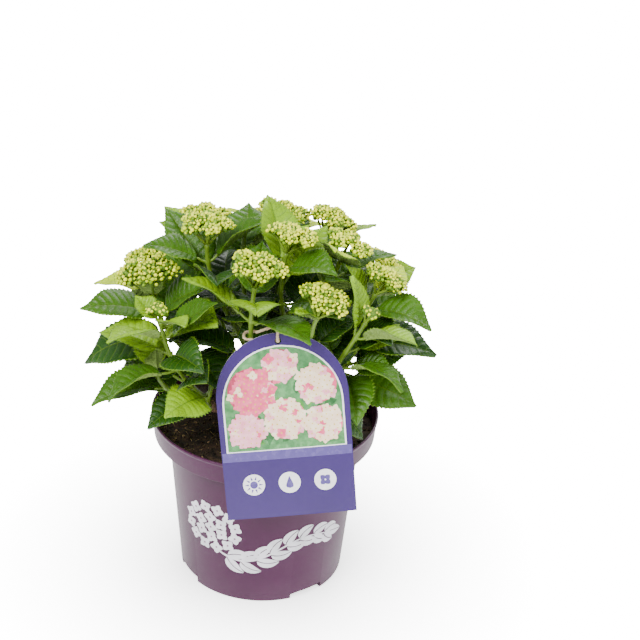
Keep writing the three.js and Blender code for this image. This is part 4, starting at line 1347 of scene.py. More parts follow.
def bud_skins(settings):
    """The materials of a bud piece: cream, yellow, green, and the painted shade of the dark inner buds."""
    skins = []
    for name, dark, gloss, wax in BUD_KINDS:
        light = getattr(settings, name)
        title = name.replace("bud", "buds")
        skins.append(toned(title, dark, light, gloss=gloss, coating=wax, **BUD_SURFACE))
    return skins + [plain("buds_inner_shade")]


def make_heads(settings):
    """Domes of closed buds on thin stalks, on thick green rays from each shoot's tip."""
    _, shoots = plant()
    skins = bud_skins(settings)
    flowering = [shoot for shoot in shoots if shoot["across"]]
    stalks = Shape()
    for number, group in in_pieces(flowering, BUD_PIECES):
        buds = Shape()
        for shoot in group:
            flower_head(buds, stalks, shoot, settings)
        piece = buds.make(f"flower_buds_{number}", skins)
        finish_piece(piece, "flower_buds", *(shoot["name"] for shoot in group))
    dark, light = scaled(settings.ray, 0.7), settings.ray
    rays = toned("flower_rays", dark, light, 160.0, 1400.0, (0.45, 0.6), (0.3, 0.0002))
    piece = stalks.make("flower_stalks", [rays])
    finish_piece(piece, "young_stem", *(shoot["name"] for shoot in flowering))


def flower_head(buds, stalks, shoot, settings):
    """A head's lobes, each with its ray, small dark buds inside as painted shade, and a dome of buds that
    keep their room.
    """
    draw = random_by(shoot["seed"] * SEEDS["heads"])
    facing = shoot["facing"]
    tip, _ = shoot["line"].at(shoot["line"].total)
    bud_radius = settings.bud_diameter / MM / 2
    taken = np.empty((0, 3))
    for centre, radius in shoot["lobes"]:
        heart = centre - facing * radius * LOBE["heart"]
        spread = (centre - shoot["head"]) - facing * ((centre - shoot["head"]) @ facing)
        lean = unit(facing + spread * LOBE["lean"])
        bow = tip + (heart - tip) * RAY["bow"] + facing * radius * RAY["sag"]
        ray = [tip - facing * RAY["foot"], tip + (bow - tip) * 0.5, bow, heart]
        tube(stalks, smooth_line(np.array(ray)), RAY_RADII, RAY["sides"])
        across, along = square_to(lean)
        # Dark inner buds, painted shade in the gaps of the dome.
        for x, y, z in dome_directions(INNER_SHADE_BUDS["count"], INNER_SHADE_BUDS["lowest"], draw):
            way = across * x + along * y + lean * z
            place = centre + (way - lean * INNER_SHADE_BUDS["sunk"]) * radius * INNER_SHADE_BUDS["share"]
            bud(buds, place, way, bud_radius * INNER_SHADE_BUDS["size"], INNER_SHADE_KIND)
        for x, y, z in dome_directions(settings.buds_per_lobe, BUD_DOME["lowest"], draw):
            way = across * x + along * y + lean * z
            size = bud_radius * stray(BUD_SIZE, draw())
            flattened = way - lean * BUD_DOME["flat"] * z
            place = centre + flattened * radius * stray(BUD_DOME["lift"], draw())
            if len(taken) and np.linalg.norm(taken - place, axis=1).min() < bud_radius * BUD_DOME["room"]:
                continue
            taken = np.concatenate([taken, place[None]])
            bud(buds, place, unit(way + LOBE["upright"] * lean), size, bud_kind(z, draw))
            stalk = [heart + (place - heart) * STALK["start"], place - way * size * STALK["end"]]
            tube(stalks, stalk, STALK_RADII, STALK["sides"])


def bud_kind(height, draw):
    """Cream, yellow or green by chance, and cream more often high on its dome, a painted highlight."""
    # Buds high on the dome are more often cream: a painted highlight.
    if draw() < BUD_CHANCE["cream_highlight"] * max(height, 0) + BUD_CHANCE["cream"]:
        return 0
    return 1 if draw() < BUD_CHANCE["yellow"] else 2


# The pot and its filling

# A fine bead runs round the pot this far below its band.
BEAD = 9
POT_ROUNDING = 0.9
POT_COLUMNS = 192
# Edges stay sharp from this angle up, in degrees.
SHARP_EDGE = 38


def pot_profile():
    """The pot's outline from the middle of its foot, up the outside, and down the inside to its floor."""
    wall, floor, channel = POT["wall"], POT["floor"], POT["channel_height"]
    shoulder, band, rim = POT["shoulder_radius"], POT["band_foot_radius"], POT["rim_radius"]
    slope = (shoulder - POT["foot_radius"]) / SHOULDER
    outline = [
        (0, 0),
        (POT["channel_inner"], 0),
        (POT["channel_inner"], channel),
        (POT["channel_outer"], channel),
        (POT["channel_outer"], 0),
        (POT["foot_radius"], 0),
        (shoulder - slope * (BEAD + 1), SHOULDER - BEAD - 1),
        (shoulder - slope * BEAD + 0.5, SHOULDER - BEAD),
        (shoulder - slope * (BEAD - 1), SHOULDER - BEAD + 1),
        (shoulder, SHOULDER),
        (band, SHOULDER),
        (rim - 1, POT["height"] - 4),
        (rim, POT["height"] - 2.4),
        (rim, POT["height"]),
        (rim - wall, POT["height"]),
        (band - wall, SHOULDER + wall),
        (shoulder - wall, SHOULDER + wall),
        (POT["foot_radius"] - wall, channel + floor),
        (POT["channel_inner"] - wall, channel + floor),
        (POT["channel_inner"] - wall, floor),
        (0, floor),
    ]
    return rounded(outline, POT_ROUNDING)


def cut(piece, cutters):
    """Cuts closed shapes out of a piece for good."""
    cutter = cutters.make("cutters", [])
    step = piece.modifiers.new("cut", "BOOLEAN")
    step.operation, step.solver, step.object = "DIFFERENCE", "EXACT", cutter
    bpy.context.view_layer.update()
    result = bpy.data.meshes.new_from_object(piece.evaluated_get(bpy.context.evaluated_depsgraph_get()))
    piece.modifiers.clear()
    piece.data = result
    bpy.data.objects.remove(cutter)
    result.shade_smooth()
    result.set_sharp_from_angle(angle=radians(SHARP_EDGE))


def make_pot(settings):
    """The pot, with the notches of its foot and its drain holes cut out, and the sprig printed on it."""
    shape = Shape()
    lathe(shape, pot_profile(), POT_COLUMNS)
    pot = shape.make("nursery_pot", [pot_material(settings)])
    cutters = Shape()
    half, height = NOTCH["width"] / 2, NOTCH["height"]
    near, far = (POT["foot_radius"] + 1 + side * NOTCH["depth"] / 2 for side in (-1, 1))
    outline = (near, -half), (far, -half), (far, half), (near, half)
    corners = np.array([(x, y, z) for z in (-height, height) for x, y in outline])
    faces = [(3, 2, 1, 0), (4, 5, 6, 7)] + [(k, (k + 1) % 4, (k + 1) % 4 + 4, k + 4) for k in range(4)]
    for angle in NOTCH["angles"]:
        turn = np.array(Matrix.Rotation(radians(angle), 3, "Z"))
        cutters.add(corners @ turn.T, (faces, 0))
    for k in range(DRAIN["count"]):
        angle = 2 * pi * (k + 0.5) / DRAIN["count"]
        middle = np.array([cos(angle), sin(angle), 0]) * DRAIN["ring_radius"]
        tube(cutters, [middle - UP * 20, middle + UP * 20], [DRAIN["radius"]] * 2, 24)
    cut(pot, cutters)
    finish_piece(pot, "pot", "pot")
    make_sprig(settings)


def on_pot(across, up, out):
    """A point on the pot's front, from its place along the surface and its height."""
    radius = POT["foot_radius"] + (POT["shoulder_radius"] - POT["foot_radius"]) * up / SHOULDER
    angle = across / radius - pi / 2
    return np.array([(radius + out) * cos(angle), (radius + out) * sin(angle), up])


def print_strip(shape, middle, half_widths, place, thick, sides=5, mark=0):
    """A printed motif: a closed plate along a middle line, with a width at each of its points."""
    middle = np.asarray(middle, float)
    way = units(np.gradient(middle, axis=0), least=1e-9)
    across = np.stack([way[:, 1], -way[:, 0]], 1)
    steps = np.linspace(-1, 1, sides)
    flat = middle[:, None] + across[:, None] * (np.asarray(half_widths)[:, None] * steps)[..., None]
    grids = [np.array([[place(x, y, out) for x, y in row] for row in flat]) for out in thick]
    slab(shape, grids[0], grids[1], mark)


def petal_path(start, angle, length, bend=0.0, steps=9):
    """The middle line of a leaf or petal, and how far along it each point is."""
    t = np.linspace(0, 1, steps)
    turn = radians(angle) + bend * t
    path = np.array(start) + np.stack([np.cos(turn), np.sin(turn)], 1) * (t * length)[:, None]
    return path, t


# The sprig on the pot runs across its front: its start, how far it goes, and its leaves.
SPRIG = dict(start=(-46, 58), reach=(118, 14), sway=-9, leaves=8, spread=48, clear=2.4, bend=0.45)
SPRIG_LEAF = dict(length=24, width=11, shrink=0.04)
SPRIG_STEM = dict(at=[0, 0.08, 1], half_widths=[0.5, 1.3, 0.6], points=60)
# The bloom at the sprig's start: its centre, the rings of its florets, and their size and turn.
BLOOM = dict(centre=(-54, 84), rings=((0, 1), (14.2, 6), (28, 12)), oval=0.86, size=7.6, turn=20)
# How far the print stands out from the pot and reaches into it.
PRINT_ON_POT = (0.22, -0.4)
PRINT_DARK = (0.60, 0.59, 0.62)


def sprig_leaf(shape, start, angle, length, bend):
    """A pointed leaf in two halves, with its midrib left bare."""
    path, t = petal_path(start, angle, length, bend)
    way = units(np.gradient(path, axis=0))
    half = np.maximum(SPRIG_LEAF["width"] / 4 * np.sin(pi * t**0.8) ** 0.9, 0.06)
    for side in (-1, 1):
        middle = path + side * np.stack([-way[:, 1], way[:, 0]], 1) * (half + 0.45)[:, None]
        print_strip(shape, middle, half, on_pot, PRINT_ON_POT, 3)


def make_sprig(settings):
    """A plain white sprig with a round bloom of florets, printed low on the pot's front."""
    shape = Shape()
    t = np.linspace(0, 1, SPRIG_STEM["points"])
    (x, y), (across, up) = SPRIG["start"], SPRIG["reach"]
    stem = np.stack([x + across * t, y + up * t**1.3 + SPRIG["sway"] * np.sin(2 * pi * t)], 1)
    widths = np.interp(t, SPRIG_STEM["at"], SPRIG_STEM["half_widths"])
    print_strip(shape, stem, widths, on_pot, PRINT_ON_POT, 3)
    way = np.gradient(stem, axis=0)
    headings = np.degrees(np.arctan2(way[:, 1], way[:, 0]))
    for number in range(SPRIG["leaves"]):
        k = 5 + round(number * 52 / (SPRIG["leaves"] - 1))
        length = SPRIG_LEAF["length"] * (1 - SPRIG_LEAF["shrink"] * number)
        for side in (-1, 1):
            heading = headings[k] + side * SPRIG["spread"]
            angle = radians(heading)
            clear = stem[k] + SPRIG["clear"] * np.array([cos(angle), sin(angle)])
            sprig_leaf(shape, clear, heading, length, -side * SPRIG["bend"])
    sprig_leaf(shape, stem[-1] + (1.5, 0.6), headings[-1], SPRIG_LEAF["length"], 0)
    x, y = BLOOM["centre"]
    for radius, count in BLOOM["rings"]:
        for k in range(count):
            angle = 2 * pi * k / count + radius
            place = x + radius * cos(angle), y + radius * sin(angle) * BLOOM["oval"]
            turn = degrees(angle) + BLOOM["turn"] * k
            floret(shape, on_pot, *place, BLOOM["size"], turn, 0, 1, PRINT_ON_POT[0])
    ink = toned("pot_print", PRINT_DARK, settings.print_colour, 60.0, 1500.0, (0.4, 0.5), (0.1, 0.0001))
    piece = shape.make("pot_sprig_print", [ink, plain("pot_print_heart")], sharp=40)
    finish_piece(piece, "pot")


# The mix is heaped a little round the canes. Its lumps are given by height, scale and seed.
HEAP = dict(height=3.2, reach=30)
LUMPS = ((2.1, 0.06, 3.0), (1.3, 0.21, 9.0), (0.8, 0.55, 5.0))
# Points of the mix's surface from its middle to its edge, and round it.
MIX_GRID = (74, 200)
# Of the crumbs, one in seven is a fibre and one in five of the rest is pale.
CRUMBS = dict(count=1500, fibre=7, pale=5, clear=2.5)
# A crumb's size, and its width and height in shares of that, with how far its corners stray.
CRUMB = dict(size=(0.6, 1.7), width=(0.7, 0.5), height=(0.6, 0.3), stray=0.3)
FIBRE_RADII = [0.12, 0.3, 0.34, 0.28, 0.1]
FIBRE_LENGTH = (4, 9)
# Nearly a whole turn, in radians.
TURN = 6.28


def make_mix():
    """Crumbly peat, heaped a little round the canes, with crumbs and bits of fibre on it."""

    def inner(key):
        return POT[key] - POT["wall"] - GAP - 0.1

    edge = inner("band_foot_radius") + 0.2
    fall = (MIX["crown_top"] - MIX["edge_top"]) / (edge - MIX["crown_radius"])
    spread = np.linspace(0, edge, MIX_GRID[0])
    surface = [(r, MIX["crown_top"] - max(r - MIX["crown_radius"], 0) * fall) for r in spread]
    base = POT["channel_height"] + POT["floor"] + GAP
    inside = POT["channel_inner"] - POT["wall"] - GAP
    below = [
        (inner("band_foot_radius"), SHOULDER + POT["wall"] + GAP),
        (inner("shoulder_radius"), SHOULDER + POT["wall"] + GAP),
        (inner("foot_radius") - 0.2, base),
        (inside, base),
        (inside, POT["floor"] + GAP),
        (0, POT["floor"] + GAP),
    ]

    def crumble(points):
        radius = np.hypot(points[..., 0], points[..., 1])
        rough = sum(height * noise_at(points, scale, seed) for height, scale, seed in LUMPS)
        heap = HEAP["height"] * hump(radius, HEAP["reach"])
        return np.where(points[..., 2] > MIX["edge_top"] - 0.5, rough + heap, 0)

    shape = Shape()
    lathe(shape, (surface + below)[::-1], MIX_GRID[1], lift=crumble)
    add_crumbs(shape, edge, fall, crumble)
    piece = shape.make("potting_mix_top", [plain("peat"), plain("peat_fibre")])
    finish_piece(piece, "potting_mix", "potting_mix")


def add_crumbs(shape, edge, fall, crumble):
    """Loose crumbs and short fibres scattered by a spiral rule."""
    draw = random_by(SEEDS["crumbs"])
    ico = bmesh.new()
    bmesh.ops.create_icosphere(ico, subdivisions=1, radius=1)
    corners = np.array([v.co[:] for v in ico.verts])
    faces = np.array([[v.index for v in f.verts] for f in ico.faces])
    ico.free()
    for k in range(CRUMBS["count"]):
        radius = (edge - CRUMBS["clear"]) * sqrt((k + 0.5) / CRUMBS["count"])
        around = radians(GOLDEN_ANGLE * k) + draw()
        x, y = radius * cos(around), radius * sin(around)
        z = MIX["crown_top"] - max(radius - MIX["crown_radius"], 0) * fall
        place = np.array([x, y, z])
        place[2] += crumble(place[None])[0]
        if k % CRUMBS["fibre"]:
            size = stray(CRUMB["size"], draw() ** 2)
            stretch = np.array([1, stray(CRUMB["width"], draw()), stray(CRUMB["height"], draw())])
            angle = draw() * TURN
            axis = Vector((draw() - 0.5, draw() - 0.5, draw()))
            turn = np.array(Matrix.Rotation(angle, 3, axis))
            lumps = 1 + CRUMB["stray"] * np.array([draw() - 0.5 for _ in corners])[:, None]
            lump = place + (corners * lumps * stretch * size) @ turn.T
            shape.add(lump, (faces, 0 if k % CRUMBS["pale"] else 1))
        else:
            heading = draw() * TURN
            way = np.array([cos(heading), sin(heading), 0.25 * (draw() - 0.4)])
            bend = np.array([-way[1], way[0], 0]) * (draw() - 0.5) * 3
            length = stray(FIBRE_LENGTH, draw())
            t = np.linspace(-0.5, 0.5, len(FIBRE_RADII))[:, None]
            path = place + UP * 0.7 + way * length * t + bend * (4 * t * t)
            tube(shape, path, FIBRE_RADII, 5, mark=1)


# The plant label and its tie

# Half the width of the label's picture window, the heights of its sill and of its spring line, and the
# width of its frame.
WINDOW = dict(half=57, sill=22, spring=66, frame=1.6)
# How far the card's sides bow back, and how far from its middle that is.
BOW = dict(depth=0.9, reach=62)


def on_card(across, up, out):
    """A point on the card, which bows back a little towards its sides."""
    return on_label(across, up, out - BOW["depth"] * (across / BOW["reach"]) ** 2)


def card_half_width(up):
    """Half the width of the card: straight sides up to its shoulder, then a half round."""
    foot, shoulder = LABEL["foot_width"] / 2, LABEL["shoulder_width"] / 2
    if up > LABEL["shoulder"]:
        return sqrt(max(shoulder**2 - (up - LABEL["shoulder"]) ** 2, 0))
    return np.interp(up, [LABEL["foot"], LABEL["shoulder"]], [foot, shoulder])


def plate(shape, low, high, half_width, out, mark, rows=30, columns=17):
    """A printed area that spans the card between two heights, with its half width at each height."""
    ups = np.linspace(low, high, rows)
    middle = np.stack([np.zeros(rows), ups], 1)
    print_strip(shape, middle, [half_width(up) for up in ups], on_card, (out, AREA_BACK), columns, mark)


def disc(shape, place, x, y, radius, out, mark, steps=22, columns=9):
    """A printed disc, as a strip with round sides."""
    angles = np.linspace(-1, 1, steps) * (pi / 2 - 0.02)
    middle = np.stack([np.full(steps, x), y + radius * np.sin(angles)], 1)
    print_strip(shape, middle, radius * np.cos(angles), place, (out, MOTIF_BACK), columns, mark)


def floret(shape, place, x, y, size, turn, mark, heart, out):
    """Four broad petals round a small heart."""
    for k in range(4):
        path, t = petal_path((x, y), turn + 90 * k, size, steps=7)
        widths = 0.43 * size * np.sin(pi * np.clip(t, 0.02, 1) ** 0.85) ** 0.75 + 0.08
        print_strip(shape, path, widths, place, (out + 0.02 * k, MOTIF_BACK), 3, mark)
    disc(shape, place, x, y, size * 0.14, out + 0.12, heart, 6, 4)


def make_label():
    """The card, with its violet face, white back and edge, and the hole for its tie."""
    angles = np.linspace(0, pi / 2 - 0.06, 22)
    straight = np.linspace(LABEL["foot"], LABEL["shoulder"], 24)[:-1]
    arch = LABEL["shoulder"] + np.sin(angles) * (LABEL_TOP - LABEL["shoulder"])
    ups = np.concatenate([straight, arch])
    steps = np.linspace(1, -1, 25)
    front, back = (
        np.array([[on_card(card_half_width(up) * s, up, out) for s in steps] for up in ups])
        for out in (0, -LABEL["thickness"])
    )
    shape = Shape()
    faces = (len(ups) - 1) * (len(steps) - 1)
    walls = 2 * (len(ups) + len(steps)) - 4
    slab(shape, front, back, np.repeat([0, 1, 1], [faces, faces, walls]))
    card = shape.make("label_card", [plain("card_violet"), plain("card_white")])
    hole = Shape()
    tube(hole, [on_card(0, LABEL["hole_rise"], out) for out in (-6, 6)], [LABEL["hole_radius"]] * 2, 32)
    cut(card, hole)
    finish_piece(card, "label", "plant_label")
    make_label_print()


def window_half_width(inset):
    """Half the width of the arched window at each height, drawn in by an inset."""
    half, spring = WINDOW["half"] - inset, WINDOW["spring"]

    def width(up):
        return half if up < spring else sqrt(max(half**2 - (up - spring) ** 2, 0.01))

    return width


# The printed flower heads in the window: across, up, radius, and kind from pink, rose and cream.
WINDOW_HEADS = (
    (-36, 42, 18, 0),
    (37, 44, 19, 2),
    (0, 103, 17, 0),
    (33, 83, 20, 2),
    (-29, 80, 24, 1),
    (1, 51, 21, 2),
)
# The inks of the label's print: name, dark tone and light tone. They share a glossy finish.
INK_FINISH = (160.0, 2200.0, (0.2, 0.3), (0.1, 0.0001), 0.35)
INKS = (
    ("white", (0.78, 0.78, 0.80), (0.86, 0.86, 0.87)),
    ("band", (0.086, 0.060, 0.225), (0.103, 0.075, 0.26)),
    ("green_haze", (0.04, 0.17, 0.05), (0.12, 0.33, 0.12)),
    ("leaf", (0.05, 0.22, 0.03), (0.12, 0.36, 0.08)),
    ("leaf_dark", (0.015, 0.09, 0.02), (0.04, 0.17, 0.05)),
    ("pink", (0.80, 0.28, 0.38), (0.92, 0.50, 0.56)),
    ("rose", (0.68, 0.06, 0.16), (0.84, 0.17, 0.27)),
    ("cream", (0.85, 0.60, 0.40), (0.92, 0.78, 0.60)),
    ("heart", (0.60, 0.40, 0.03), (0.75, 0.60, 0.10)),
    ("shade", (0.36, 0.02, 0.07), (0.50, 0.06, 0.12)),
)
INK = {name: number for number, (name, _, _) in enumerate(INKS)}
PETALS = (INK["pink"], INK["rose"], INK["cream"])
# How far each layer of the print stands out from the card, in mm.
LAYER = dict(frame=0.07, band=0.09, haze=0.11, disc=0.12, leaf=0.15, shade=0.17, icon=0.18, sun=0.19)
FLORET_LAYER = (0.2, 0.2)
# How far the print reaches into the card: motifs, and the areas that span it.
MOTIF_BACK, AREA_BACK = -0.3, -0.35
# The band under the window, and the row of three icons below it.
BAND = dict(foot=12, head=21, inset=0.8)
ICONS = dict(spread=34, up=-12, radius=10.5)
SUN = dict(rays=10, start=5, length=3.4, radius=3.7)
DROP = dict(foot=-5.6, length=12, width=3.9)
WINDOW_LEAVES = 34
WINDOW_LEAF = dict(length=(11, 7), width=3.6)
# A printed flower head: florets per square mm, how far out they go, and their size.
WINDOW_HEAD = dict(florets=0.11, reach=0.88, shade=0.93, size=(4.2, 1.6), plain=0.7)


def make_label_print():
    """A made-up print: a window of florets, a plain band, and a sun, a drop and a flower in discs."""
    shape = Shape()
    draw = random_by(SEEDS["print"])
    crown = WINDOW["spring"] + WINDOW["half"]
    frame, haze = window_half_width(0), window_half_width(WINDOW["frame"])
    sill = WINDOW["sill"]
    plate(shape, sill - WINDOW["frame"], crown - 0.05, frame, LAYER["frame"], INK["white"], 60)
    plate(shape, sill, crown - 1.7, haze, LAYER["haze"], INK["green_haze"], 60)
    print_window_leaves(shape, draw)
    for head in WINDOW_HEADS:
        print_window_head(shape, draw, *head)

    def band_half_width(up):
        return card_half_width(up) - BAND["inset"]

    plate(shape, BAND["foot"], BAND["head"], band_half_width, LAYER["band"], INK["band"], 6)
    print_icons(shape)
    inks = [toned(f"print_{name}", dark, light, *INK_FINISH) for name, dark, light in INKS]
    finish_piece(shape.make("label_print", inks, sharp=40), "label")


def print_window_leaves(shape, draw):
    """Scattered leaves in two greens. Those that would cross the window's frame are left out."""
    for k in range(WINDOW_LEAVES):
        x = (draw() * 2 - 1) * (WINDOW["half"] - 12)
        y = WINDOW["sill"] + 6 + draw() * (WINDOW["spring"] - WINDOW["sill"] + 12)
        angle, length = draw() * 360, stray(WINDOW_LEAF["length"], draw())
        path, t = petal_path((x, y), angle, length, draw() - 0.5)
        inside = [abs(px) < window_half_width(2.4)(py) - 4 and py > WINDOW["sill"] + 3 for px, py in path]
        if all(inside):
            widths = WINDOW_LEAF["width"] * np.sin(pi * t**0.8) + 0.1
            print_strip(shape, path, widths, on_card, (LAYER["leaf"], MOTIF_BACK), 3, INK["leaf"] + k % 2)


def print_window_head(shape, draw, cx, cy, radius, kind):
    """A printed flower head: a disc of shade under a spiral of florets that stay inside the window."""
    petals = PETALS[kind]
    shade = INK["rose"] if petals == INK["cream"] else INK["shade"]
    disc(shape, on_card, cx, cy, radius * WINDOW_HEAD["shade"], LAYER["shade"], shade)
    count = int(radius**2 * WINDOW_HEAD["florets"])
    for k in range(count):
        out = radius * WINDOW_HEAD["reach"] * sqrt((k + 0.5) / count)
        around = radians(GOLDEN_ANGLE * k)
        x, y = cx + out * cos(around), cy + out * sin(around)
        size = stray(WINDOW_HEAD["size"], draw())
        if y - size > WINDOW["sill"] + 1 and abs(x) + size < window_half_width(2)(y + size * 0.7):
            mark = petals if draw() < WINDOW_HEAD["plain"] else PETALS[k % 3]
            turn = draw() * 90
            floret(shape, on_card, x, y, size, turn, mark, INK["heart"], stray(FLORET_LAYER, draw()))


def print_icons(shape):
    """A sun, a drop of water and a flower, each on a white disc."""
    spread, up, band = ICONS["spread"], ICONS["up"], INK["band"]
    icon = (LAYER["icon"], MOTIF_BACK)
    for x in (-spread, 0, spread):
        disc(shape, on_card, x, up, ICONS["radius"], LAYER["disc"], INK["white"])
    for k in range(SUN["rays"]):
        turn = 360 // SUN["rays"] * k
        angle = radians(turn)
        start = (-spread + SUN["start"] * cos(angle), up + SUN["start"] * sin(angle))
        path, t = petal_path(start, turn, SUN["length"], steps=4)
        print_strip(shape, path, 0.75 * (1 - t) + 0.15, on_card, icon, 3, band)
    disc(shape, on_card, -spread, up, SUN["radius"], LAYER["sun"], band, 14)
    path, t = petal_path((0, up + DROP["foot"]), 90, DROP["length"], steps=14)
    widths = DROP["width"] * np.sin(pi * t**0.55) ** 0.8 * (1 - 0.5 * t) + 0.1
    print_strip(shape, path, widths, on_card, icon, 5, band)
    floret(shape, on_card, spread, up, 6.2, 45, band, INK["white"], LAYER["icon"])


# The twine, as points along its loop and round it, the turns of its twist and how far that stands out.
TWINE = dict(samples=260, sides=12, twists=48, ridge=0.13, core=0.92)


def make_tie():
    """A loop of twisted paper twine, ridged by its twist."""
    _, shoots = plant()
    points = tie_points(shoots[0], TWINE["samples"])[:-1]
    count, sides = len(points), TWINE["sides"]
    along = units(np.roll(points, -1, 0) - np.roll(points, 1, 0))
    firsts = carried(square_to(along[0])[0], along)
    seconds = cross(along, firsts)
    back = unit(firsts[-1] - along[0] * (firsts[-1] @ along[0]))
    slip = atan2(back @ seconds[0], back @ firsts[0])
    share = (np.arange(count) / count)[:, None]
    angles = np.arange(sides)[None] * 2 * pi / sides
    turn = angles - slip * share
    ridges = 1 + TWINE["ridge"] * np.cos(2 * angles + 2 * pi * TWINE["twists"] * share)
    reach = TIE["radius"] * TWINE["core"] * ridges
    grid = points[:, None] + firsts[:, None] * (reach * np.cos(turn))[..., None]
    grid = grid + seconds[:, None] * (reach * np.sin(turn))[..., None]
    shape = Shape()
    shape.add(grid, (grid_faces(count + 1, sides, closed=True) % (count * sides), 0))
    finish_piece(shape.make("paper_twine", [plain("tie_paper")]), "tie", "label_tie")


# The stage

FLOOR = dict(half=9, drop=0.0004)
# The floor shows the camera a painted glow, which fades near the pot to leave a painted shade round its
# foot: from this share, over these distances.
FLOOR_SHADE = dict(share=0.08, start=0.08, end=0.36)
BACKDROP = (0.96, 0.98, 1.0, 1)
# The lamps: place, size, and power as a share of the key light's. They aim at the middle of the plant.
LAMPS = {
    "key": ((-1.1, -1.5, 2.1), 1.5, 1.0),
    "fill": ((1.7, -0.9, 1.3), 1.4, 0.3),
    "rim": ((0.5, 1.8, 1.9), 1.4, 0.4),
}
LAMP_AIM = Vector((0, 0, 0.22))


def make_stage(settings):
    """The floor, the even light from all around, the lamps and the camera."""
    add_floor(settings)
    world = bpy.data.worlds.new("studio")
    world.use_nodes = True
    backdrop = world.node_tree.nodes["Background"]
    backdrop.inputs["Color"].default_value = BACKDROP
    backdrop.inputs["Strength"].default_value = settings.sky_strength
    bpy.context.scene.world = world
    for name, (place, size, share) in LAMPS.items():
        add_softbox(name, place, size, settings.key_power * share)
    add_camera()


def floor_material(settings):
    """Matt paper with a painted glow, and a painted white for the camera that fades to painted shade near
    the pot.
    """
    light = settings.floor_colour
    paper = toned("floor_paper", scaled(light, 0.97), light, 3.0, 500.0, (0.75, 0.85), (0.03, 0.0002))
    tree = paper.node_tree
    shader = tree.nodes["Principled BSDF"]
    away = node(tree, "VectorMath", {0: object_place(tree)}, operation="LENGTH")
    away = away.outputs["Value"]
    share = remap(tree, away, FLOOR_SHADE["start"], FLOOR_SHADE["end"], FLOOR_SHADE["share"], 1.0)
    # A painted glow that only the camera sees, fading to painted shade near the pot.
    seen = node(tree, "LightPath").outputs["Is Camera Ray"]
    painted_glow = reckon(tree, "MULTIPLY", seen, share)
    glow = remap(tree, painted_glow, 0.0, 1.0, settings.floor_glow / settings.floor_white)
    tree.links.new(glow, shader.inputs["Emission Color"])
    shader.inputs["Emission Strength"].default_value = settings.floor_white
    return paper


def add_floor(settings):
    floor = bmesh.new()
    bmesh.ops.create_grid(floor, x_segments=2, y_segments=2, size=FLOOR["half"])
    mesh = bpy.data.meshes.new("floor")
    floor.to_mesh(mesh)
    floor.free()
    mesh.materials.append(floor_material(settings))
    plane = bpy.data.objects.new("floor", mesh)
    plane.location.z = -FLOOR["drop"]
    bpy.context.scene.collection.objects.link(plane)


def add_softbox(name, place, size, power):
    lamp = bpy.data.lights.new(name, "AREA")
    lamp.shape, lamp.size, lamp.energy = "DISK", size, power
    holder = bpy.data.objects.new(name, lamp)
    holder.location = place
    aim = LAMP_AIM - Vector(place)
    holder.rotation_euler = aim.to_track_quat("-Z", "Y").to_euler()
    bpy.context.scene.collection.objects.link(holder)


def add_camera():
    lens = bpy.data.cameras.new("camera")
    lens.lens, lens.sensor_width = CAMERA["lens"], CAMERA["sensor"]
    azimuth, elevation, roll = (radians(CAMERA[key]) for key in ("azimuth", "elevation", "roll"))
    flat = cos(elevation)
    back = Vector((sin(azimuth) * flat, -cos(azimuth) * flat, sin(elevation)))
    right = (-back).cross(Vector((0, 0, 1))).normalized()
    up = right.cross(-back)
    tilted_right = right * cos(roll) + up * sin(roll)
    tilted_up = up * cos(roll) - right * sin(roll)
    camera = bpy.data.objects.new("camera", lens)
    turn = Matrix((tilted_right, tilted_up, back)).transposed()
    camera.matrix_world = Matrix.Translation(CAMERA["eye"]) @ turn.to_4x4()
    bpy.context.scene.collection.objects.link(camera)
    bpy.context.scene.camera = camera


# The settings that a user may change


def colour_setting(name, description, default):
    kind = dict(subtype="COLOR", size=3, min=0, max=1)
    return FloatVectorProperty(name=name, description=description, default=default, **kind)


def length_setting(name, description, default, most):
    kind = dict(subtype="DISTANCE", unit="LENGTH", min=0, max=most)
    return FloatProperty(name=name, description=description, default=default, **kind)


def strength_setting(name, description, default, least, most, **kind):
    return FloatProperty(name=name, description=description, default=default, min=least, max=most, **kind)


class HydrangeaPot(bpy.types.PropertyGroup):
    plastic_light: colour_setting("Plastic", "Colour of the pot's plastic", (0.051, 0.0050, 0.037))
    plastic_dark: colour_setting("Plastic, dark", "Darker tone in the plastic", (0.039, 0.0036, 0.028))
    print_colour: colour_setting("Print", "Colour of the sprig on the pot", (0.74, 0.72, 0.77))


class HydrangeaFoliage(bpy.types.PropertyGroup):
    leaf_young: colour_setting("Young leaves", "Colour of the top leaves", (0.46, 0.63, 0.008))
    leaf_light: colour_setting("Light leaves", "Lightest colour of grown leaves", (0.19, 0.355, 0.003))
    leaf_mid: colour_setting("Leaves", "Usual colour of grown leaves", (0.041, 0.120, 0.0013))
    leaf_deep: colour_setting("Deep leaves", "Colour of the lowest leaves", (0.0125, 0.054, 0.001))
    vein: colour_setting("Veins", "Colour of midribs, veins and margins", (0.105, 0.21, 0.008))
    underside: colour_setting("Underside", "Colour of the leaves' undersides", (0.165, 0.255, 0.05))
    stem: colour_setting("Stems", "Colour of green stems and petioles", (0.13, 0.235, 0.008))
    quilting: length_setting("Quilting", "How far a leaf puckers up between its veins", 0.0013, 0.003)
    tooth_depth: length_setting("Teeth", "Depth of the teeth of a leaf", 0.0028, 0.005)
    leaf_thickness: length_setting("Thickness", "Thickness of a leaf", 0.0005, 0.0015)


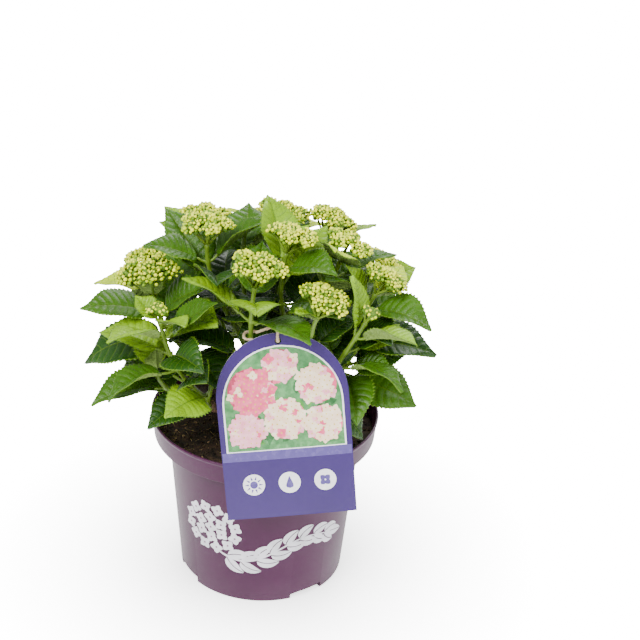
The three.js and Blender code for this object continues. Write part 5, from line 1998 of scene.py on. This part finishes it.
class HydrangeaFlowers(bpy.types.PropertyGroup):
    bud_diameter: length_setting("Bud", "Diameter of a closed bud", 0.0035, 0.006)
    buds_per_lobe: IntProperty(
        name="Buds", description="Most buds on one lobe of a flower head", min=6, max=80, default=38
    )
    bud_cream: colour_setting("Cream buds", "Colour of the ripest buds", (1.0, 1.0, 0.045))
    bud_yellow: colour_setting("Yellow buds", "Colour of most buds", (0.66, 0.77, 0.004))
    bud_green: colour_setting("Green buds", "Colour of the youngest buds", (0.22, 0.37, 0.005))
    ray: colour_setting("Rays", "Colour of the flower heads' stalks", (0.18, 0.29, 0.02))


class HydrangeaStage(bpy.types.PropertyGroup):
    key_power: strength_setting("Key light", "Power of the main light", 125, 0, 500, unit="POWER")
    sky_strength: strength_setting("Sky", "Strength of the even light from all around", 0.66, 0, 3)
    floor_colour: colour_setting("Floor", "Colour of the floor", (0.9, 0.9, 0.9))
    # The floor's glow and the white that it shows the camera are painted light.
    floor_glow: strength_setting("Floor glow", "Light that the floor gives off itself", 0.6, 0, 5)
    floor_white: strength_setting("Floor white", "Brightness that the floor shows the camera", 18, 1, 40)


# Operators, panel and registration


class HYDRANGEA_OT_pot(bpy.types.Operator):
    """Make the nursery pot and its print"""

    bl_idname = "hydrangea.pot"
    bl_label = "Pot"

    def execute(self, context):
        make_pot(context.scene.hydrangea_pot)
        return {"FINISHED"}


class HYDRANGEA_OT_mix(bpy.types.Operator):
    """Fill the pot with potting mix"""

    bl_idname = "hydrangea.mix"
    bl_label = "Potting Mix"

    def execute(self, context):
        make_mix()
        return {"FINISHED"}


class HYDRANGEA_OT_canes(bpy.types.Operator):
    """Grow the woody canes"""

    bl_idname = "hydrangea.canes"
    bl_label = "Canes"

    def execute(self, context):
        make_canes()
        return {"FINISHED"}


class HYDRANGEA_OT_stems(bpy.types.Operator):
    """Grow the green stems and petioles"""

    bl_idname = "hydrangea.stems"
    bl_label = "Stems"

    def execute(self, context):
        make_stems(context.scene.hydrangea_foliage)
        return {"FINISHED"}


class HYDRANGEA_OT_leaves(bpy.types.Operator):
    """Grow the leaves"""

    bl_idname = "hydrangea.leaves"
    bl_label = "Leaves"

    def execute(self, context):
        make_leaves(context.scene.hydrangea_foliage)
        return {"FINISHED"}


class HYDRANGEA_OT_heads(bpy.types.Operator):
    """Grow the flower heads in bud"""

    bl_idname = "hydrangea.heads"
    bl_label = "Flower Heads"

    def execute(self, context):
        make_heads(context.scene.hydrangea_flowers)
        return {"FINISHED"}


class HYDRANGEA_OT_label(bpy.types.Operator):
    """Make the plant label and the tie that holds it"""

    bl_idname = "hydrangea.label"
    bl_label = "Label"

    def execute(self, context):
        make_label()
        make_tie()
        return {"FINISHED"}


class HYDRANGEA_OT_stage(bpy.types.Operator):
    """Set up the floor, lights and camera"""

    bl_idname = "hydrangea.stage"
    bl_label = "Stage"

    def execute(self, context):
        make_stage(context.scene.hydrangea_stage)
        return {"FINISHED"}


class HYDRANGEA_PT_panel(bpy.types.Panel):
    """The plant's settings and steps"""

    bl_label = "Hydrangea"
    bl_space_type = "VIEW_3D"
    bl_region_type = "UI"
    bl_category = "Hydrangea"

    def draw(self, context):
        for title, group, kind in SETTINGS:
            box = self.layout.box()
            box.label(text=title)
            for name in kind.__annotations__:
                box.prop(getattr(context.scene, group), name)
        for operator in OPERATORS:
            self.layout.operator(operator.bl_idname)


SETTINGS = (
    ("Pot", "hydrangea_pot", HydrangeaPot),
    ("Foliage", "hydrangea_foliage", HydrangeaFoliage),
    ("Flowers", "hydrangea_flowers", HydrangeaFlowers),
    ("Stage", "hydrangea_stage", HydrangeaStage),
)
OPERATORS = (
    HYDRANGEA_OT_pot,
    HYDRANGEA_OT_mix,
    HYDRANGEA_OT_canes,
    HYDRANGEA_OT_stems,
    HYDRANGEA_OT_leaves,
    HYDRANGEA_OT_heads,
    HYDRANGEA_OT_label,
    HYDRANGEA_OT_stage,
)


def register():
    for _, group, kind in SETTINGS:
        bpy.utils.register_class(kind)
        setattr(bpy.types.Scene, group, PointerProperty(type=kind))
    for kind in (*OPERATORS, HYDRANGEA_PT_panel):
        bpy.utils.register_class(kind)


def unregister():
    for kind in (HYDRANGEA_PT_panel, *reversed(OPERATORS)):
        bpy.utils.unregister_class(kind)
    for _, group, kind in reversed(SETTINGS):
        delattr(bpy.types.Scene, group)
        bpy.utils.unregister_class(kind)


def main():
    register()
    bpy.ops.hydrangea.stage()
    bpy.ops.hydrangea.pot()
    bpy.ops.hydrangea.mix()
    bpy.ops.hydrangea.canes()
    bpy.ops.hydrangea.stems()
    bpy.ops.hydrangea.leaves()
    bpy.ops.hydrangea.heads()
    bpy.ops.hydrangea.label()


if __name__ == "__main__":
    main()
